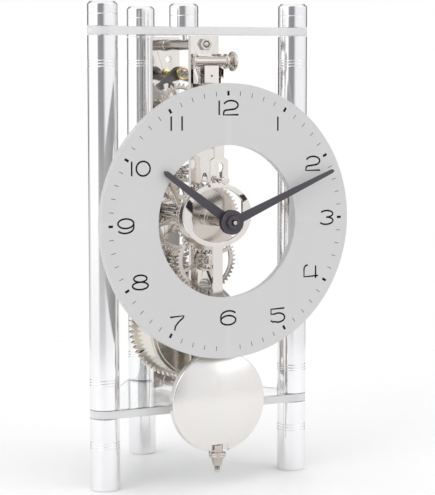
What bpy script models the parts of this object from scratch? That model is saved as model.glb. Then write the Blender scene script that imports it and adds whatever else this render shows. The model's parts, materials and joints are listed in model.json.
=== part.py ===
"""Skeleton clock: acrylic plates on aluminium pillars, an open dial, a narrow movement and a pendulum.

Metres, +Z up, the dial faces -Y. The origin is on the ground under the middle of the clock.
Every turning piece has its origin on its own axis.
"""
import math

import bmesh
import bpy
from mathutils import Matrix, Vector
from mathutils.geometry import tessellate_polygon

MM = 0.001
GAP = 0.3 * MM              # between pieces that touch
RUN = 0.35 * MM             # around a turning shaft

# ---- frame of pillars and acrylic plates
HEIGHT = 240.0 * MM
PILLAR_R = 7.35 * MM
HALF_SPAN = 52.6 * MM       # from the centre line to a front pillar
REAR_DEPTH = 71.0 * MM      # from the front pillars back to the rear pillar
PLATE_T = 4.0 * MM
LEG_H = 36.3 * MM           # ground to the underside of the base plate
FINIAL_H = 12.1 * MM        # top plate to the top of the finials
SPIGOT_R = 2.5 * MM
SPIGOT_DEPTH = 8.0 * MM     # how far a spigot goes into a tube

# ---- dial and hands
DIAL_R = 67.2 * MM
DIAL_HOLE_R = 37.3 * MM
DIAL_T = 4.0 * MM
DIAL_Z = 133.4 * MM
DIAL_FORWARD = 31.0 * MM    # from the front pillars' axes to the dial's face
STUD_R = 3.0 * MM
MINUTE_HAND_L = 61.5 * MM
HOUR_HAND_L = 43.4 * MM
HAND_T = 0.8 * MM
MINUTES = 11.2              # the time shown is eleven minutes past ten
HOURS = 10

# ---- movement
MOVEMENT_W = 15.6 * MM      # width of the two movement plates
MOVEMENT_PLATE_T = 2.5 * MM
MOVEMENT_SPACE = 42.4 * MM  # between the movement plates
MOVEMENT_DEPTH = 18.5 * MM  # from the front pillars back to the movement's middle
SPACER_R = 3.0 * MM
SPACER_Z_IN = 4.2 * MM      # from an end of the movement plates to a spacer's axis
ARBOR_R = 1.0 * MM
BARREL_Z = 76.2 * MM
GREAT_STEP = 2.2 * MM       # from the great wheel's pitch circle down to the drum
BARREL_WALL = 1.2 * MM
BARREL_ARBOR_R = 3.0 * MM
SECOND_SHARE = 0.55         # place of the second arbor between barrel and centre
ESCAPE_Z = 188.0 * MM
PALLET_Z = 205.0 * MM
ESCAPE_R = 12.0 * MM
WHEEL_T = 1.4 * MM
MOTION_SPACING = 21.0 * MM  # centre arbor down to the minute wheel's post
RATCHET_R = 9.0 * MM

# teeth
GREAT_TEETH, SECOND_PINION = 60, 10
SECOND_TEETH, CENTRE_PINION = 54, 9
CENTRE_TEETH, THIRD_PINION = 60, 8
THIRD_TEETH, FOURTH_PINION = 48, 10
FOURTH_TEETH, ESCAPE_PINION = 38, 9
ESCAPE_TEETH = 30
CANNON_TEETH, MINUTE_TEETH = 15, 45
MINUTE_PINION, HOUR_TEETH = 12, 48
RATCHET_TEETH = 18

# ---- pendulum and its suspension
PENDULUM_FORWARD = 19.0 * MM    # from the front pillars' axes to the pendulum's middle
PENDULUM_T = 1.6 * MM
SUSPENSION_FORWARD = 11.0 * MM
RING_R = 15.9 * MM              # half the ring's height
RING_STRETCH = 1.176            # the ring's width over its height
RING_HOLE_R = 13.5 * MM
RING_FLAT = 11.6 * MM           # from the ring's centre to the flats of its hole
RING_Z = DIAL_Z + 2.2 * MM
BAR_W = 5.3 * MM
HANGER_W = 8.6 * MM
HANGER_END_W = 9.6 * MM
HANGER_T = 1.3 * MM
HOOK_Z = RING_Z + 17.6 * MM
BOB_R = 25.3 * MM
BOB_T = 13.0 * MM
BOB_RIM = 4.6 * MM
BOB_Z = 42.8 * MM
ROD_R = 1.5 * MM
ROD_END_Z = 7.0 * MM
NUT_R = 4.35 * MM
BEAT_Z = 211.0 * MM
BEAT_ROD_R = 2.5 * MM
BEAT_KNOB_R = 4.9 * MM
BEAT_LEFT = 9.0 * MM            # centre line to the rod's left end
BEAT_RIGHT = 13.3 * MM          # centre line to the knob's face

# ---- places worked out from the sizes above
BASE_TOP = LEG_H + PLATE_T
TOP_TOP = HEIGHT - FINIAL_H
TOP_UNDER = TOP_TOP - PLATE_T
FRONT_REACH = DIAL_FORWARD + 7.9 * MM
BACK_REACH = REAR_DEPTH + PILLAR_R
PILLAR_Y = (FRONT_REACH - BACK_REACH) / 2       # the front pillars' axes, with the depth centred on 0
REAR_Y = PILLAR_Y + REAR_DEPTH
DIAL_FACE_Y = PILLAR_Y - DIAL_FORWARD
DIAL_BACK_Y = DIAL_FACE_Y + DIAL_T
MOVEMENT_Y = PILLAR_Y + MOVEMENT_DEPTH
INNER_FRONT = MOVEMENT_Y - MOVEMENT_SPACE / 2
INNER_BACK = MOVEMENT_Y + MOVEMENT_SPACE / 2
OUTER_FRONT = INNER_FRONT - MOVEMENT_PLATE_T
OUTER_BACK = INNER_BACK + MOVEMENT_PLATE_T
MOVEMENT_TOP = TOP_UNDER - GAP
MOVEMENT_FOOT = BASE_TOP + GAP
PENDULUM_Y = PILLAR_Y - PENDULUM_FORWARD
SUSPENSION_Y = PILLAR_Y - SUSPENSION_FORWARD
SECOND_Z = BARREL_Z + (DIAL_Z - BARREL_Z) * SECOND_SHARE
UPPER_MODULE = 2 * (ESCAPE_Z - DIAL_Z) / (
    CENTRE_TEETH + THIRD_PINION + THIRD_TEETH + FOURTH_PINION + FOURTH_TEETH + ESCAPE_PINION)
THIRD_Z = DIAL_Z + UPPER_MODULE * (CENTRE_TEETH + THIRD_PINION) / 2
FOURTH_Z = THIRD_Z + UPPER_MODULE * (THIRD_TEETH + FOURTH_PINION) / 2
GREAT_MODULE = 2 * (SECOND_Z - BARREL_Z) / (GREAT_TEETH + SECOND_PINION)
BARREL_R = GREAT_MODULE * GREAT_TEETH / 2 - GREAT_STEP
SECOND_MODULE = 2 * (DIAL_Z - SECOND_Z) / (SECOND_TEETH + CENTRE_PINION)
MOTION_MODULE = 2 * MOTION_SPACING / (CANNON_TEETH + MINUTE_TEETH)
HOUR_MODULE = 2 * MOTION_SPACING / (MINUTE_PINION + HOUR_TEETH)
MINUTE_Z = DIAL_Z - MOTION_SPACING

UP = math.pi / 2
DOWN = -math.pi / 2

# sides of the round pieces, by their size
LARGE, MEDIUM, SMALL, TINY = 40, 20, 12, 8

# teeth: height and depth in modules, half widths in shares of the pitch
ADDENDUM, DEDENDUM = 0.8, 1.1
TIP_SHARE, ROOT_SHARE = 0.11, 0.29


# ---------------------------------------------------------------- outlines, as lists of (across, along)
def circle(radius, count=MEDIUM, centre=(0.0, 0.0), turn=0.0):
    """A round outline, anticlockwise."""
    steps = [turn + 2 * math.pi * i / count for i in range(count)]
    return [(centre[0] + radius * math.cos(a), centre[1] + radius * math.sin(a)) for a in steps]


def arc(radius, start, end, count, centre=(0.0, 0.0)):
    """Points along an arc, both ends included."""
    steps = [start + (end - start) * i / count for i in range(count + 1)]
    return [(centre[0] + radius * math.cos(a), centre[1] + radius * math.sin(a)) for a in steps]


def box_outline(width, low, high, centre=0.0):
    """A rectangle that is width across and runs from low to high."""
    half = width / 2
    return [(centre - half, low), (centre + half, low), (centre + half, high), (centre - half, high)]


def gear_outline(teeth, module, tooth_at):
    """Straight-flanked teeth with some backlash, one of them pointing at the angle tooth_at."""
    pitch_r = module * teeth / 2
    pitch = 2 * math.pi / teeth
    tip_r = pitch_r + ADDENDUM * module
    root_r = pitch_r - DEDENDUM * module
    points = []
    for i in range(teeth):
        middle = tooth_at + i * pitch
        for radius, share in ((root_r, -ROOT_SHARE), (tip_r, -TIP_SHARE),
                              (tip_r, TIP_SHARE), (root_r, ROOT_SHARE)):
            angle = middle + share * pitch
            points.append((radius * math.cos(angle), radius * math.sin(angle)))
    return points


def saw_outline(teeth, tip_r, depth, tooth_at, lean):
    """Pointed teeth that lean one way, as on an escape wheel or a ratchet."""
    pitch = 2 * math.pi / teeth
    points = []
    for i in range(teeth):
        tip = tooth_at + i * pitch
        for radius, angle in ((tip_r, tip - 0.03 * pitch), (tip_r, tip + 0.05 * pitch),
                              (tip_r - depth, tip + lean * pitch)):
            points.append((radius * math.cos(angle), radius * math.sin(angle)))
    return points


def spoke_windows(inner_r, outer_r, count, spoke_w, turn=0.0):
    """The openings that leave straight spokes between a hub and a rim."""
    windows = []
    for i in range(count):
        start = turn + 2 * math.pi * i / count
        end = start + 2 * math.pi / count
        inner_cut = math.asin(spoke_w / 2 / inner_r)
        outer_cut = math.asin(spoke_w / 2 / outer_r)
        window = arc(outer_r, start + outer_cut, end - outer_cut, 3)
        window += reversed(arc(inner_r, start + inner_cut, end - inner_cut, 1))
        windows.append(window)
    return windows


def hull_of_circles(centres, radius, count=TINY):
    """The outline of a plate with a round corner about each centre, given anticlockwise."""
    points = []
    number = len(centres)
    for i, here in enumerate(centres):
        before = Vector(here) - Vector(centres[i - 1])
        after = Vector(centres[(i + 1) % number]) - Vector(here)
        start = math.atan2(before.y, before.x) - math.pi / 2
        end = math.atan2(after.y, after.x) - math.pi / 2
        while end < start:
            end += 2 * math.pi
        points += arc(radius, start, end, count, here)
    return points


# ---------------------------------------------------------------- solids
# each axis says where (across, along, through) of an outline point at since the object's origin
AXES = {
    "X": Matrix(((0, 0, 1), (1, 0, 0), (0, 1, 0))),
    "Y": Matrix(((1, 0, 0), (0, 0, 1), (0, 1, 0))),
    "Z": Matrix(((1, 0, 0), (0, 1, 0), (0, 0, 1))),
}


def fill(bm, loops):
    """Closes the area inside the first loop of vertices and outside the others."""
    outlines = [[v.co / MM for v in loop] for loop in loops]
    flat = [v for loop in loops for v in loop]
    for triangle in tessellate_polygon(outlines):
        bm.faces.new([flat[i] for i in triangle])


def wall(bm, low, high):
    """Joins two loops of equal length with a band of quads."""
    for i in range(len(low)):
        bm.faces.new((low[i - 1], low[i], high[i], high[i - 1]))


def ring(bm, outline, through, axis, at):
    """The vertices of one outline. at is the object's origin in the world."""
    return [bm.verts.new(AXES[axis] @ Vector((a, b, through)) - Vector(at)) for a, b in outline]


def finish(name, bm, at, material, smooth=35.0):
    """Turns the mesh into an object whose faces point outwards."""
    bmesh.ops.recalc_face_normals(bm, faces=bm.faces)
    mesh = bpy.data.meshes.new(name)
    bm.to_mesh(mesh)
    bm.free()
    mesh.shade_smooth()
    mesh.set_sharp_from_angle(angle=math.radians(smooth))
    mesh.materials.append(material)
    piece = bpy.data.objects.new(name, mesh)
    piece.location = at
    bpy.context.scene.collection.objects.link(piece)
    return piece


def shift(outline, at, axis):
    """Moves an outline that was drawn about an axis to that axis's place in the world."""
    place = AXES[axis].transposed() @ Vector(at)
    return [(a + place.x, b + place.y) for a, b in outline]


def slab(name, outlines, low, high, material, at=(0, 0, 0), axis="Y"):
    """A plate between low and high along the axis: an outline and any holes, drawn about at."""
    bm = bmesh.new()
    lows = [ring(bm, shift(o, at, axis), low, axis, at) for o in outlines]
    highs = [ring(bm, shift(o, at, axis), high, axis, at) for o in outlines]
    fill(bm, lows)
    fill(bm, highs)
    for one, other in zip(lows, highs):
        wall(bm, one, other)
    return finish(name, bm, at, material)


def stack(name, sections, material, at=(0, 0, 0), axis="Y", bore=0.0):
    """One solid of coaxial lengths, each (low, high, outline), drawn about at.

    Neighbouring outlines lie wholly inside one another. A bore runs right through.
    """
    bm = bmesh.new()
    hole = circle(bore, SMALL) if bore else None
    ends = []
    for low, high, outline in sections:
        placed = shift(outline, at, axis)
        one = ring(bm, placed, low, axis, at)
        other = ring(bm, placed, high, axis, at)
        wall(bm, one, other)
        reach = max(math.hypot(a, b) for a, b in outline)
        ends.append((one, other, reach))
    for (_, before, reach_before), (after, _, reach_after) in zip(ends, ends[1:]):
        fill(bm, [before, after] if reach_before > reach_after else [after, before])
    first, last = ends[0][0], ends[-1][1]
    if hole:
        placed = shift(hole, at, axis)
        low_hole = ring(bm, placed, sections[0][0], axis, at)
        high_hole = ring(bm, placed, sections[-1][1], axis, at)
        wall(bm, low_hole, high_hole)
        fill(bm, [first, low_hole])
        fill(bm, [last, high_hole])
    else:
        fill(bm, [first])
        fill(bm, [last])
    return finish(name, bm, at, material)


def turned(name, profile, material, at=(0, 0, 0), axis="Z", count=MEDIUM, closed=False):
    """A turned solid: (radius, through) points, closed on itself or capped at both ends."""
    bm = bmesh.new()
    loops = [ring(bm, shift(circle(r, count), at, axis), t, axis, at) for r, t in profile]
    for one, other in zip(loops, loops[1:]):
        wall(bm, one, other)
    if closed:
        wall(bm, loops[-1], loops[0])
    else:
        fill(bm, [loops[0]])
        fill(bm, [loops[-1]])
    return finish(name, bm, at, material)


def cut(piece, cutter):
    """Takes the cutter out of the piece and hides it."""
    modifier = piece.modifiers.new("cut_" + cutter.name, "BOOLEAN")
    modifier.object = cutter
    modifier.solver = "EXACT"
    cutter.hide_render = True
    cutter.display_type = "WIRE"


def join(piece, other):
    """Makes the other solid part of the piece and hides it."""
    modifier = piece.modifiers.new("join_" + other.name, "BOOLEAN")
    modifier.operation = "UNION"
    modifier.object = other
    modifier.solver = "EXACT"
    other.hide_render = True
    other.display_type = "WIRE"


def material(name, colour, roughness, metallic, alpha=1.0):
    """A plain Principled material."""
    made = bpy.data.materials.new(name)
    made.use_nodes = True
    shader = made.node_tree.nodes["Principled BSDF"]
    shader.inputs["Base Color"].default_value = (*colour, 1.0)
    shader.inputs["Roughness"].default_value = roughness
    shader.inputs["Metallic"].default_value = metallic
    shader.inputs["Alpha"].default_value = alpha
    return made


for old in list(bpy.data.objects):
    bpy.data.objects.remove(old)

ACRYLIC = material("clear_acrylic", (0.86, 0.89, 0.89), 0.05, 0.0, 0.35)
FROSTED = material("frosted_acrylic", (0.78, 0.78, 0.78), 0.5, 0.0, 0.75)
ALUMINIUM = material("satin_aluminium", (0.72, 0.72, 0.73), 0.3, 1.0)
NICKEL = material("polished_nickel", (0.70, 0.67, 0.62), 0.18, 1.0)
SATIN = material("satin_nickel", (0.62, 0.58, 0.52), 0.35, 1.0)
BRASS = material("brass", (0.75, 0.55, 0.27), 0.25, 1.0)
STEEL = material("bright_steel", (0.58, 0.58, 0.60), 0.25, 1.0)
BLACK_STEEL = material("black_steel", (0.04, 0.04, 0.045), 0.4, 1.0)
GUNMETAL = material("gunmetal", (0.06, 0.055, 0.07), 0.5, 0.6)


# ---------------------------------------------------------------- frame
PILLARS = {
    "left": (-HALF_SPAN, PILLAR_Y),
    "right": (HALF_SPAN, PILLAR_Y),
    "rear": (0.0, REAR_Y),
}
CORNERS = [PILLARS["left"], PILLARS["right"], PILLARS["rear"]]
SPIGOT_HOLE_R = SPIGOT_R + GAP
MOVEMENT_SCREW_R = 1.5 * MM
FOOT_CHAMFER = 0.5 * MM
FINIAL_CHAMFER = 1.3 * MM
STUD_SPIGOT_R = 1.5 * MM
STUD_SPIGOT_L = 2.5 * MM


def make_plates():
    """Two clear plates, rounded about the pillars, with a hole for each spigot."""
    outline = hull_of_circles(CORNERS, PILLAR_R)
    holes = [circle(SPIGOT_HOLE_R, SMALL, corner) for corner in CORNERS]
    slab("base_plate", [outline, *holes], LEG_H, BASE_TOP, ACRYLIC, axis="Z")
    holes.append(circle(MOVEMENT_SCREW_R + GAP, SMALL, (0.0, MOVEMENT_Y)))
    slab("top_plate", [outline, *holes], TOP_UNDER, TOP_TOP, ACRYLIC, axis="Z")


def finial_profile(spigot_r, spigot_end):
    """A cap with a chamfered top and a spigot that reaches down to spigot_end."""
    return [(spigot_r, spigot_end), (spigot_r, TOP_TOP + GAP), (PILLAR_R, TOP_TOP + GAP),
            (PILLAR_R, HEIGHT - FINIAL_CHAMFER), (PILLAR_R - FINIAL_CHAMFER, HEIGHT)]


def make_pillars():
    """Each pillar is a leg, a tube between the plates and a finial, screwed together through them."""
    for side, (x, y) in PILLARS.items():
        foot = (x, y, 0.0)
        leg = [(PILLAR_R - FOOT_CHAMFER, 0.0), (PILLAR_R, FOOT_CHAMFER), (PILLAR_R, LEG_H - GAP),
               (SPIGOT_R, LEG_H - GAP), (SPIGOT_R, BASE_TOP + SPIGOT_DEPTH)]
        turned(side + "_leg", leg, ALUMINIUM, foot)
        low, high = BASE_TOP + GAP, TOP_UNDER - GAP
        pipe = [(SPIGOT_HOLE_R, low), (PILLAR_R, low), (PILLAR_R, high), (SPIGOT_HOLE_R, high)]
        tube = turned(side + "_tube", pipe, ALUMINIUM, foot, closed=True)
        turned(side + "_finial", finial_profile(SPIGOT_R, TOP_UNDER - SPIGOT_DEPTH), ALUMINIUM, foot)
        if side != "rear":
            make_dial_stud(side, x, y, tube)
    screw_end = MOVEMENT_TOP - SPACER_Z_IN + SPACER_R / 4
    turned("movement_finial", finial_profile(MOVEMENT_SCREW_R, screw_end), ALUMINIUM,
           (0.0, MOVEMENT_Y, 0.0))


def make_dial_stud(side, x, y, tube):
    """A stud that stands out of a front tube and carries the dial."""
    at = (x, y, DIAL_Z)
    front = y - PILLAR_R
    stack(side + "_dial_stud", [
        (DIAL_BACK_Y + GAP, front - GAP, circle(STUD_R, SMALL)),
        (front - GAP, front + STUD_SPIGOT_L, circle(STUD_SPIGOT_R, TINY)),
    ], ALUMINIUM, at)
    socket = stack(side + "_stud_socket", [
        (front - PILLAR_R, front + STUD_SPIGOT_L + GAP, circle(STUD_SPIGOT_R + GAP, TINY)),
    ], ALUMINIUM, at)
    cut(tube, socket)


# ---------------------------------------------------------------- dial and hands
HAND_BACK_Y = DIAL_FACE_Y - 1.6 * MM        # back of the hour hand
HOUR_FACE_Y = HAND_BACK_Y - HAND_T
MINUTE_BACK_Y = HOUR_FACE_Y - 1.6 * MM
MINUTE_FACE_Y = MINUTE_BACK_Y - HAND_T
HAND_NUT_T = 1.4 * MM
HAND_NUT_R = 3.25 * MM
HAND_HUB_R = 6.0 * MM
ARBOR_TIP_Y = PILLAR_Y - FRONT_REACH
CANNON_R = 2.1 * MM
HOUR_PIPE_R = 3.4 * MM
MINUTE_ANGLE = 2 * math.pi * MINUTES / 60
HOUR_ANGLE = 2 * math.pi * (HOURS + MINUTES / 60) / 12


def hand_outline(length, hub_half, tip_half, angle):
    """A tapered hand with a round hub and a blunt point, turned clockwise from twelve."""
    lean = math.asin(hub_half / HAND_HUB_R)
    hub = arc(HAND_HUB_R, UP + lean, UP + 2 * math.pi - lean, MEDIUM)
    blade = [(tip_half, length - tip_half), (tip_half / 3, length),
             (-tip_half / 3, length), (-tip_half, length - tip_half)]
    cosine, sine = math.cos(-angle), math.sin(-angle)
    return [(a * cosine - b * sine, a * sine + b * cosine) for a, b in hub + blade]


def make_dial_and_hands():
    """The dial is an open ring. The hands sit on the hour pipe and the cannon's pipe."""
    at = (0.0, DIAL_FACE_Y, DIAL_Z)
    slab("dial", [circle(DIAL_R, 80), circle(DIAL_HOLE_R, 56)], DIAL_FACE_Y, DIAL_BACK_Y, FROSTED, at)
    hour = hand_outline(HOUR_HAND_L, 2.4 * MM, 1.3 * MM, HOUR_ANGLE)
    slab("hour_hand", [hour, circle(HOUR_PIPE_R + GAP, SMALL)], HOUR_FACE_Y, HAND_BACK_Y, GUNMETAL, at)
    minute = hand_outline(MINUTE_HAND_L, 2.2 * MM, 1.0 * MM, MINUTE_ANGLE)
    slab("minute_hand", [minute, circle(CANNON_R + GAP, SMALL)],
         MINUTE_FACE_Y, MINUTE_BACK_Y, GUNMETAL, at)
    slab("hand_nut", [circle(HAND_NUT_R), circle(ARBOR_R + GAP, SMALL)],
         MINUTE_FACE_Y - GAP - HAND_NUT_T, MINUTE_FACE_Y - GAP, GUNMETAL, at)


# ---------------------------------------------------------------- movement plates
PIVOT_R = 0.6 * MM
PIVOT_HOLE_R = PIVOT_R + RUN
SPACER_STUD_R = 1.3 * MM
NUT_T = 2.0 * MM
NUT_ACROSS_R = 3.2 * MM
BARREL_PIVOT_R = 2.6 * MM
SQUARE_SIDE = 3.5 * MM
SQUARE_L = 9.0 * MM
SLOT_W = 6.0 * MM
SLOT_OFF_SPACER = 6.0 * MM
SLOT_OFF_BARREL = 7.0 * MM
SLOT_OFF_PIVOT = 5.0 * MM
UPPER_SLOT_W = 0.28 * (THIRD_Z - DIAL_Z)
UPPER_SLOT_LOW = DIAL_Z + 0.233 * (THIRD_Z - DIAL_Z)
UPPER_SLOT_HIGH = THIRD_Z - 0.163 * (THIRD_Z - DIAL_Z)
LOW_SPACER_Z = MOVEMENT_FOOT + SPACER_Z_IN
HIGH_SPACER_Z = MOVEMENT_TOP - SPACER_Z_IN
RATCHET_Y = OUTER_BACK + GAP
CLICK_AT = (5.0 * MM, 0.0, BARREL_Z + RATCHET_R + 4.0 * MM)
CLICK_SCREW_R = 1.1 * MM
SIGHT_HOLE_R = 1.7 * MM
SIGHT_HOLE_X = 1.5 * MM
SIGHT_HOLE_UP = 7.1 * MM    # from the pallet arbor up to the hole in the back plate


def rounded_slot(width, low, high):
    """A slot with round ends, its middle on the centre line."""
    half = width / 2
    upper_end = arc(half, 0.0, math.pi, 5, (0.0, high - half))
    lower_end = arc(half, math.pi, 2 * math.pi, 5, (0.0, low + half))
    return upper_end + lower_end


def make_movement_plates():
    """Two narrow nickel plates with a hole for each pivot and slots that lighten them."""
    outline = box_outline(MOVEMENT_W, MOVEMENT_FOOT, MOVEMENT_TOP)
    shared = [circle(PIVOT_HOLE_R, TINY, (0.0, z)) for z in (SECOND_Z, THIRD_Z, FOURTH_Z, ESCAPE_Z)]
    shared += [circle(SPACER_STUD_R + GAP, SMALL, (0.0, z)) for z in (LOW_SPACER_Z, HIGH_SPACER_Z)]
    shared.append(circle(BARREL_PIVOT_R + RUN, SMALL, (0.0, BARREL_Z)))
    shared.append(rounded_slot(SLOT_W, LOW_SPACER_Z + SLOT_OFF_SPACER, BARREL_Z - SLOT_OFF_BARREL))
    shared.append(rounded_slot(SLOT_W, BARREL_Z + SLOT_OFF_BARREL + 1.0 * MM, SECOND_Z - SLOT_OFF_PIVOT))
    front = [circle(ARBOR_R + RUN, SMALL, (0.0, DIAL_Z)), circle(ARBOR_R + RUN, SMALL, (0.0, PALLET_Z)),
             circle(ARBOR_R + GAP, SMALL, (0.0, MINUTE_Z)),
             rounded_slot(UPPER_SLOT_W, UPPER_SLOT_LOW, UPPER_SLOT_HIGH)]
    back = [circle(PIVOT_HOLE_R, TINY, (0.0, z)) for z in (DIAL_Z, PALLET_Z)]
    back.append(circle(CLICK_SCREW_R + GAP, TINY, (CLICK_AT[0], CLICK_AT[2])))
    back.append(circle(SIGHT_HOLE_R, SMALL, (SIGHT_HOLE_X, PALLET_Z + SIGHT_HOLE_UP)))
    slab("front_plate", [outline, *shared, *front], OUTER_FRONT, INNER_FRONT, NICKEL)
    slab("back_plate", [outline, *shared[:-1], *back], INNER_BACK, OUTER_BACK, NICKEL)


def make_spacers():
    """A round spacer near each end keeps the plates apart, with a nut on both of its studs."""
    stud = circle(SPACER_STUD_R, TINY)
    nut_reach = NUT_T + 2 * GAP
    for end, z in (("upper", HIGH_SPACER_Z), ("lower", LOW_SPACER_Z)):
        at = (0.0, MOVEMENT_Y, z)
        spacer = stack(end + "_spacer", [
            (OUTER_FRONT - nut_reach, INNER_FRONT + GAP, stud),
            (INNER_FRONT + GAP, INNER_BACK - GAP, circle(SPACER_R, SMALL)),
            (INNER_BACK - GAP, OUTER_BACK + nut_reach, stud),
        ], STEEL, at)
        for face, low in (("front", OUTER_FRONT - GAP - NUT_T), ("rear", OUTER_BACK + GAP)):
            slab(end + "_" + face + "_nut", [circle(NUT_ACROSS_R, 6), circle(SPACER_STUD_R + GAP, TINY)],
                 low, low + NUT_T, STEEL, (0.0, low, z))
        if end == "upper":
            tapped = turned("movement_screw_hole", [
                (MOVEMENT_SCREW_R + GAP, z + SPACER_R / 4 - GAP), (MOVEMENT_SCREW_R + GAP, z + 2 * SPACER_R)
            ], STEEL, (0.0, MOVEMENT_Y, 0.0), count=TINY)
            cut(spacer, tapped)


# ---------------------------------------------------------------- going train
# places of the wheels along their arbors, from the inside of the front plate
BARREL_IN = 8.5 * MM
GREAT_IN = MOVEMENT_SPACE - 15.2 * MM
CENTRE_WHEEL_IN = MOVEMENT_SPACE - 19.9 * MM
THIRD_WHEEL_IN = MOVEMENT_SPACE - 13.4 * MM
FOURTH_WHEEL_IN = MOVEMENT_SPACE - 9.0 * MM
SECOND_WHEEL_IN = MOVEMENT_SPACE - 6.9 * MM
ESCAPE_WHEEL_IN = MOVEMENT_SPACE - 16.9 * MM
GREAT_T = 2.5 * MM
CAP_T = 1.2 * MM
ESCAPE_T = 1.2 * MM
HUB_R = 3.4 * MM
SPOKE_W = 1.8 * MM
RIM_W = 2.6 * MM            # from a wheel's pitch circle to the inside of its rim
PINION_OVER = 1.8 * MM      # a pinion's overhang at each side of the wheel that turns it
CENTRE_PINION_OVER = 10.0 * MM      # the centre pinion is long towards the front


def make_arbor(name, z, turned_by, teeth, module, front=None, over=PINION_OVER):
    """A steel arbor cut with a pinion, with a pivot in each plate unless its front end goes on."""
    low = INNER_FRONT + turned_by - over
    high = INNER_FRONT + turned_by + WHEEL_T + PINION_OVER
    body = circle(ARBOR_R, TINY)
    sections = [
        (low, high, gear_outline(teeth, module, UP + math.pi / teeth + math.pi)),
        (high, INNER_BACK - GAP, body),
        (INNER_BACK - GAP, OUTER_BACK, circle(PIVOT_R, TINY)),
    ]
    if front is None:
        sections.insert(0, (INNER_FRONT + GAP, low, body))
        sections.insert(0, (OUTER_FRONT, INNER_FRONT + GAP, circle(PIVOT_R, TINY)))
    else:
        sections.insert(0, (front, low, body))
    return stack(name, sections, STEEL, (0.0, MOVEMENT_Y, z))


def make_wheel(name, z, place, outline, rim_r, spokes=4, thickness=WHEEL_T):
    """A spoked nickel wheel on an arbor."""
    windows = spoke_windows(HUB_R, rim_r, spokes, SPOKE_W, UP / spokes)
    low = INNER_FRONT + place
    return slab(name, [outline, circle(ARBOR_R + GAP, TINY), *windows], low, low + thickness, NICKEL,
                (0.0, low, z))


def make_barrel():
    """The going barrel: a toothed drum with a cap, the mainspring in it and the arbor through it."""
    at = (0.0, MOVEMENT_Y, BARREL_Z)
    front = INNER_FRONT + BARREL_IN
    great = INNER_FRONT + GREAT_IN
    bore = BARREL_ARBOR_R + RUN
    inner_r = BARREL_R - BARREL_WALL
    drum = stack("barrel_drum", [
        (front, great, circle(BARREL_R, LARGE)),
        (great, great + GREAT_T, gear_outline(GREAT_TEETH, GREAT_MODULE, UP)),
    ], SATIN, at, bore=bore)
    hollow = stack("barrel_hollow", [(front - CAP_T, great, circle(inner_r, LARGE))], SATIN, at)
    cut(drum, hollow)
    slab("barrel_cap", [circle(BARREL_R, LARGE), circle(bore, SMALL)],
         front - GAP - CAP_T, front - GAP, SATIN, at)
    make_mainspring(front + GAP, great - GAP, inner_r, at)
    square = box_outline(SQUARE_SIDE, -SQUARE_SIDE / 2, SQUARE_SIDE / 2)
    stack("barrel_arbor", [
        (OUTER_FRONT, INNER_FRONT + GAP, circle(BARREL_PIVOT_R, SMALL)),
        (INNER_FRONT + GAP, INNER_BACK - GAP, circle(BARREL_ARBOR_R, SMALL)),
        (INNER_BACK - GAP, OUTER_BACK + GAP / 2, circle(BARREL_PIVOT_R, SMALL)),
        (OUTER_BACK + GAP / 2, OUTER_BACK + SQUARE_L, square),
    ], STEEL, at)


def make_mainspring(low, high, outer_r, at):
    """A spiral strip, wound from near the arbor out to the drum's wall."""
    turns, steps = 4, 56
    thick = 0.5 * MM
    start_r = BARREL_ARBOR_R + 2 * RUN + thick
    end_r = outer_r - 2 * RUN - thick
    middle = []
    for i in range(steps + 1):
        share = i / steps
        radius = start_r + (end_r - start_r) * share
        angle = 2 * math.pi * turns * share
        middle.append((radius, angle))
    outer = [((r + thick / 2) * math.cos(a), (r + thick / 2) * math.sin(a)) for r, a in middle]
    inner = [((r - thick / 2) * math.cos(a), (r - thick / 2) * math.sin(a)) for r, a in middle]
    slab("mainspring", [outer + inner[::-1]], low, high, STEEL, at)


def make_click():
    """Behind the back plate a ratchet holds the arbor, with its click, screw and spring."""
    thick = 1.8 * MM
    at = (0.0, RATCHET_Y, BARREL_Z)
    corner = SQUARE_SIDE / math.sqrt(2)
    slab("ratchet_wheel", [saw_outline(RATCHET_TEETH, RATCHET_R, 1.3 * MM, UP, 0.72),
                           circle(corner + GAP, SMALL)], RATCHET_Y, RATCHET_Y + thick, STEEL, at)
    x, _, z = CLICK_AT
    pivot = (x, RATCHET_Y, z)
    hub_r = 2.2 * MM
    nose_angle = UP + math.radians(10)
    nose_r = RATCHET_R + GAP
    nose = (nose_r * math.cos(nose_angle) - x, nose_r * math.sin(nose_angle) + BARREL_Z - z)
    tip = [(nose[0], nose[1]), (nose[0] + 1.6 * MM, nose[1] + 0.35 * MM)]
    hub = arc(hub_r, -math.pi * 0.55, math.pi * 0.6, TINY)
    heel = [(nose[0] + 0.4 * MM, nose[1] + 2.6 * MM)]
    slab("click", [hub + heel + tip, circle(CLICK_SCREW_R + RUN, TINY)], RATCHET_Y, RATCHET_Y + thick,
         STEEL, pivot)
    stack("click_screw", [
        (INNER_BACK, RATCHET_Y + thick + GAP, circle(CLICK_SCREW_R, TINY)),
        (RATCHET_Y + thick + GAP, RATCHET_Y + thick + GAP + 1.2 * MM, circle(2.1 * MM, SMALL)),
    ], STEEL, pivot)
    wire = 0.7 * MM
    foot = (heel[0][0] - wire / 2, heel[0][1] + 0.8 * MM)
    fixed = (2.4 * MM, 9.0 * MM)
    strip = [foot, (foot[0] + wire, foot[1]), (foot[0] + wire, fixed[1] - wire), (fixed[0], fixed[1] - wire),
             fixed, (foot[0], fixed[1])]
    slab("click_spring", [strip], RATCHET_Y, RATCHET_Y + wire, STEEL, pivot)


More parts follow.
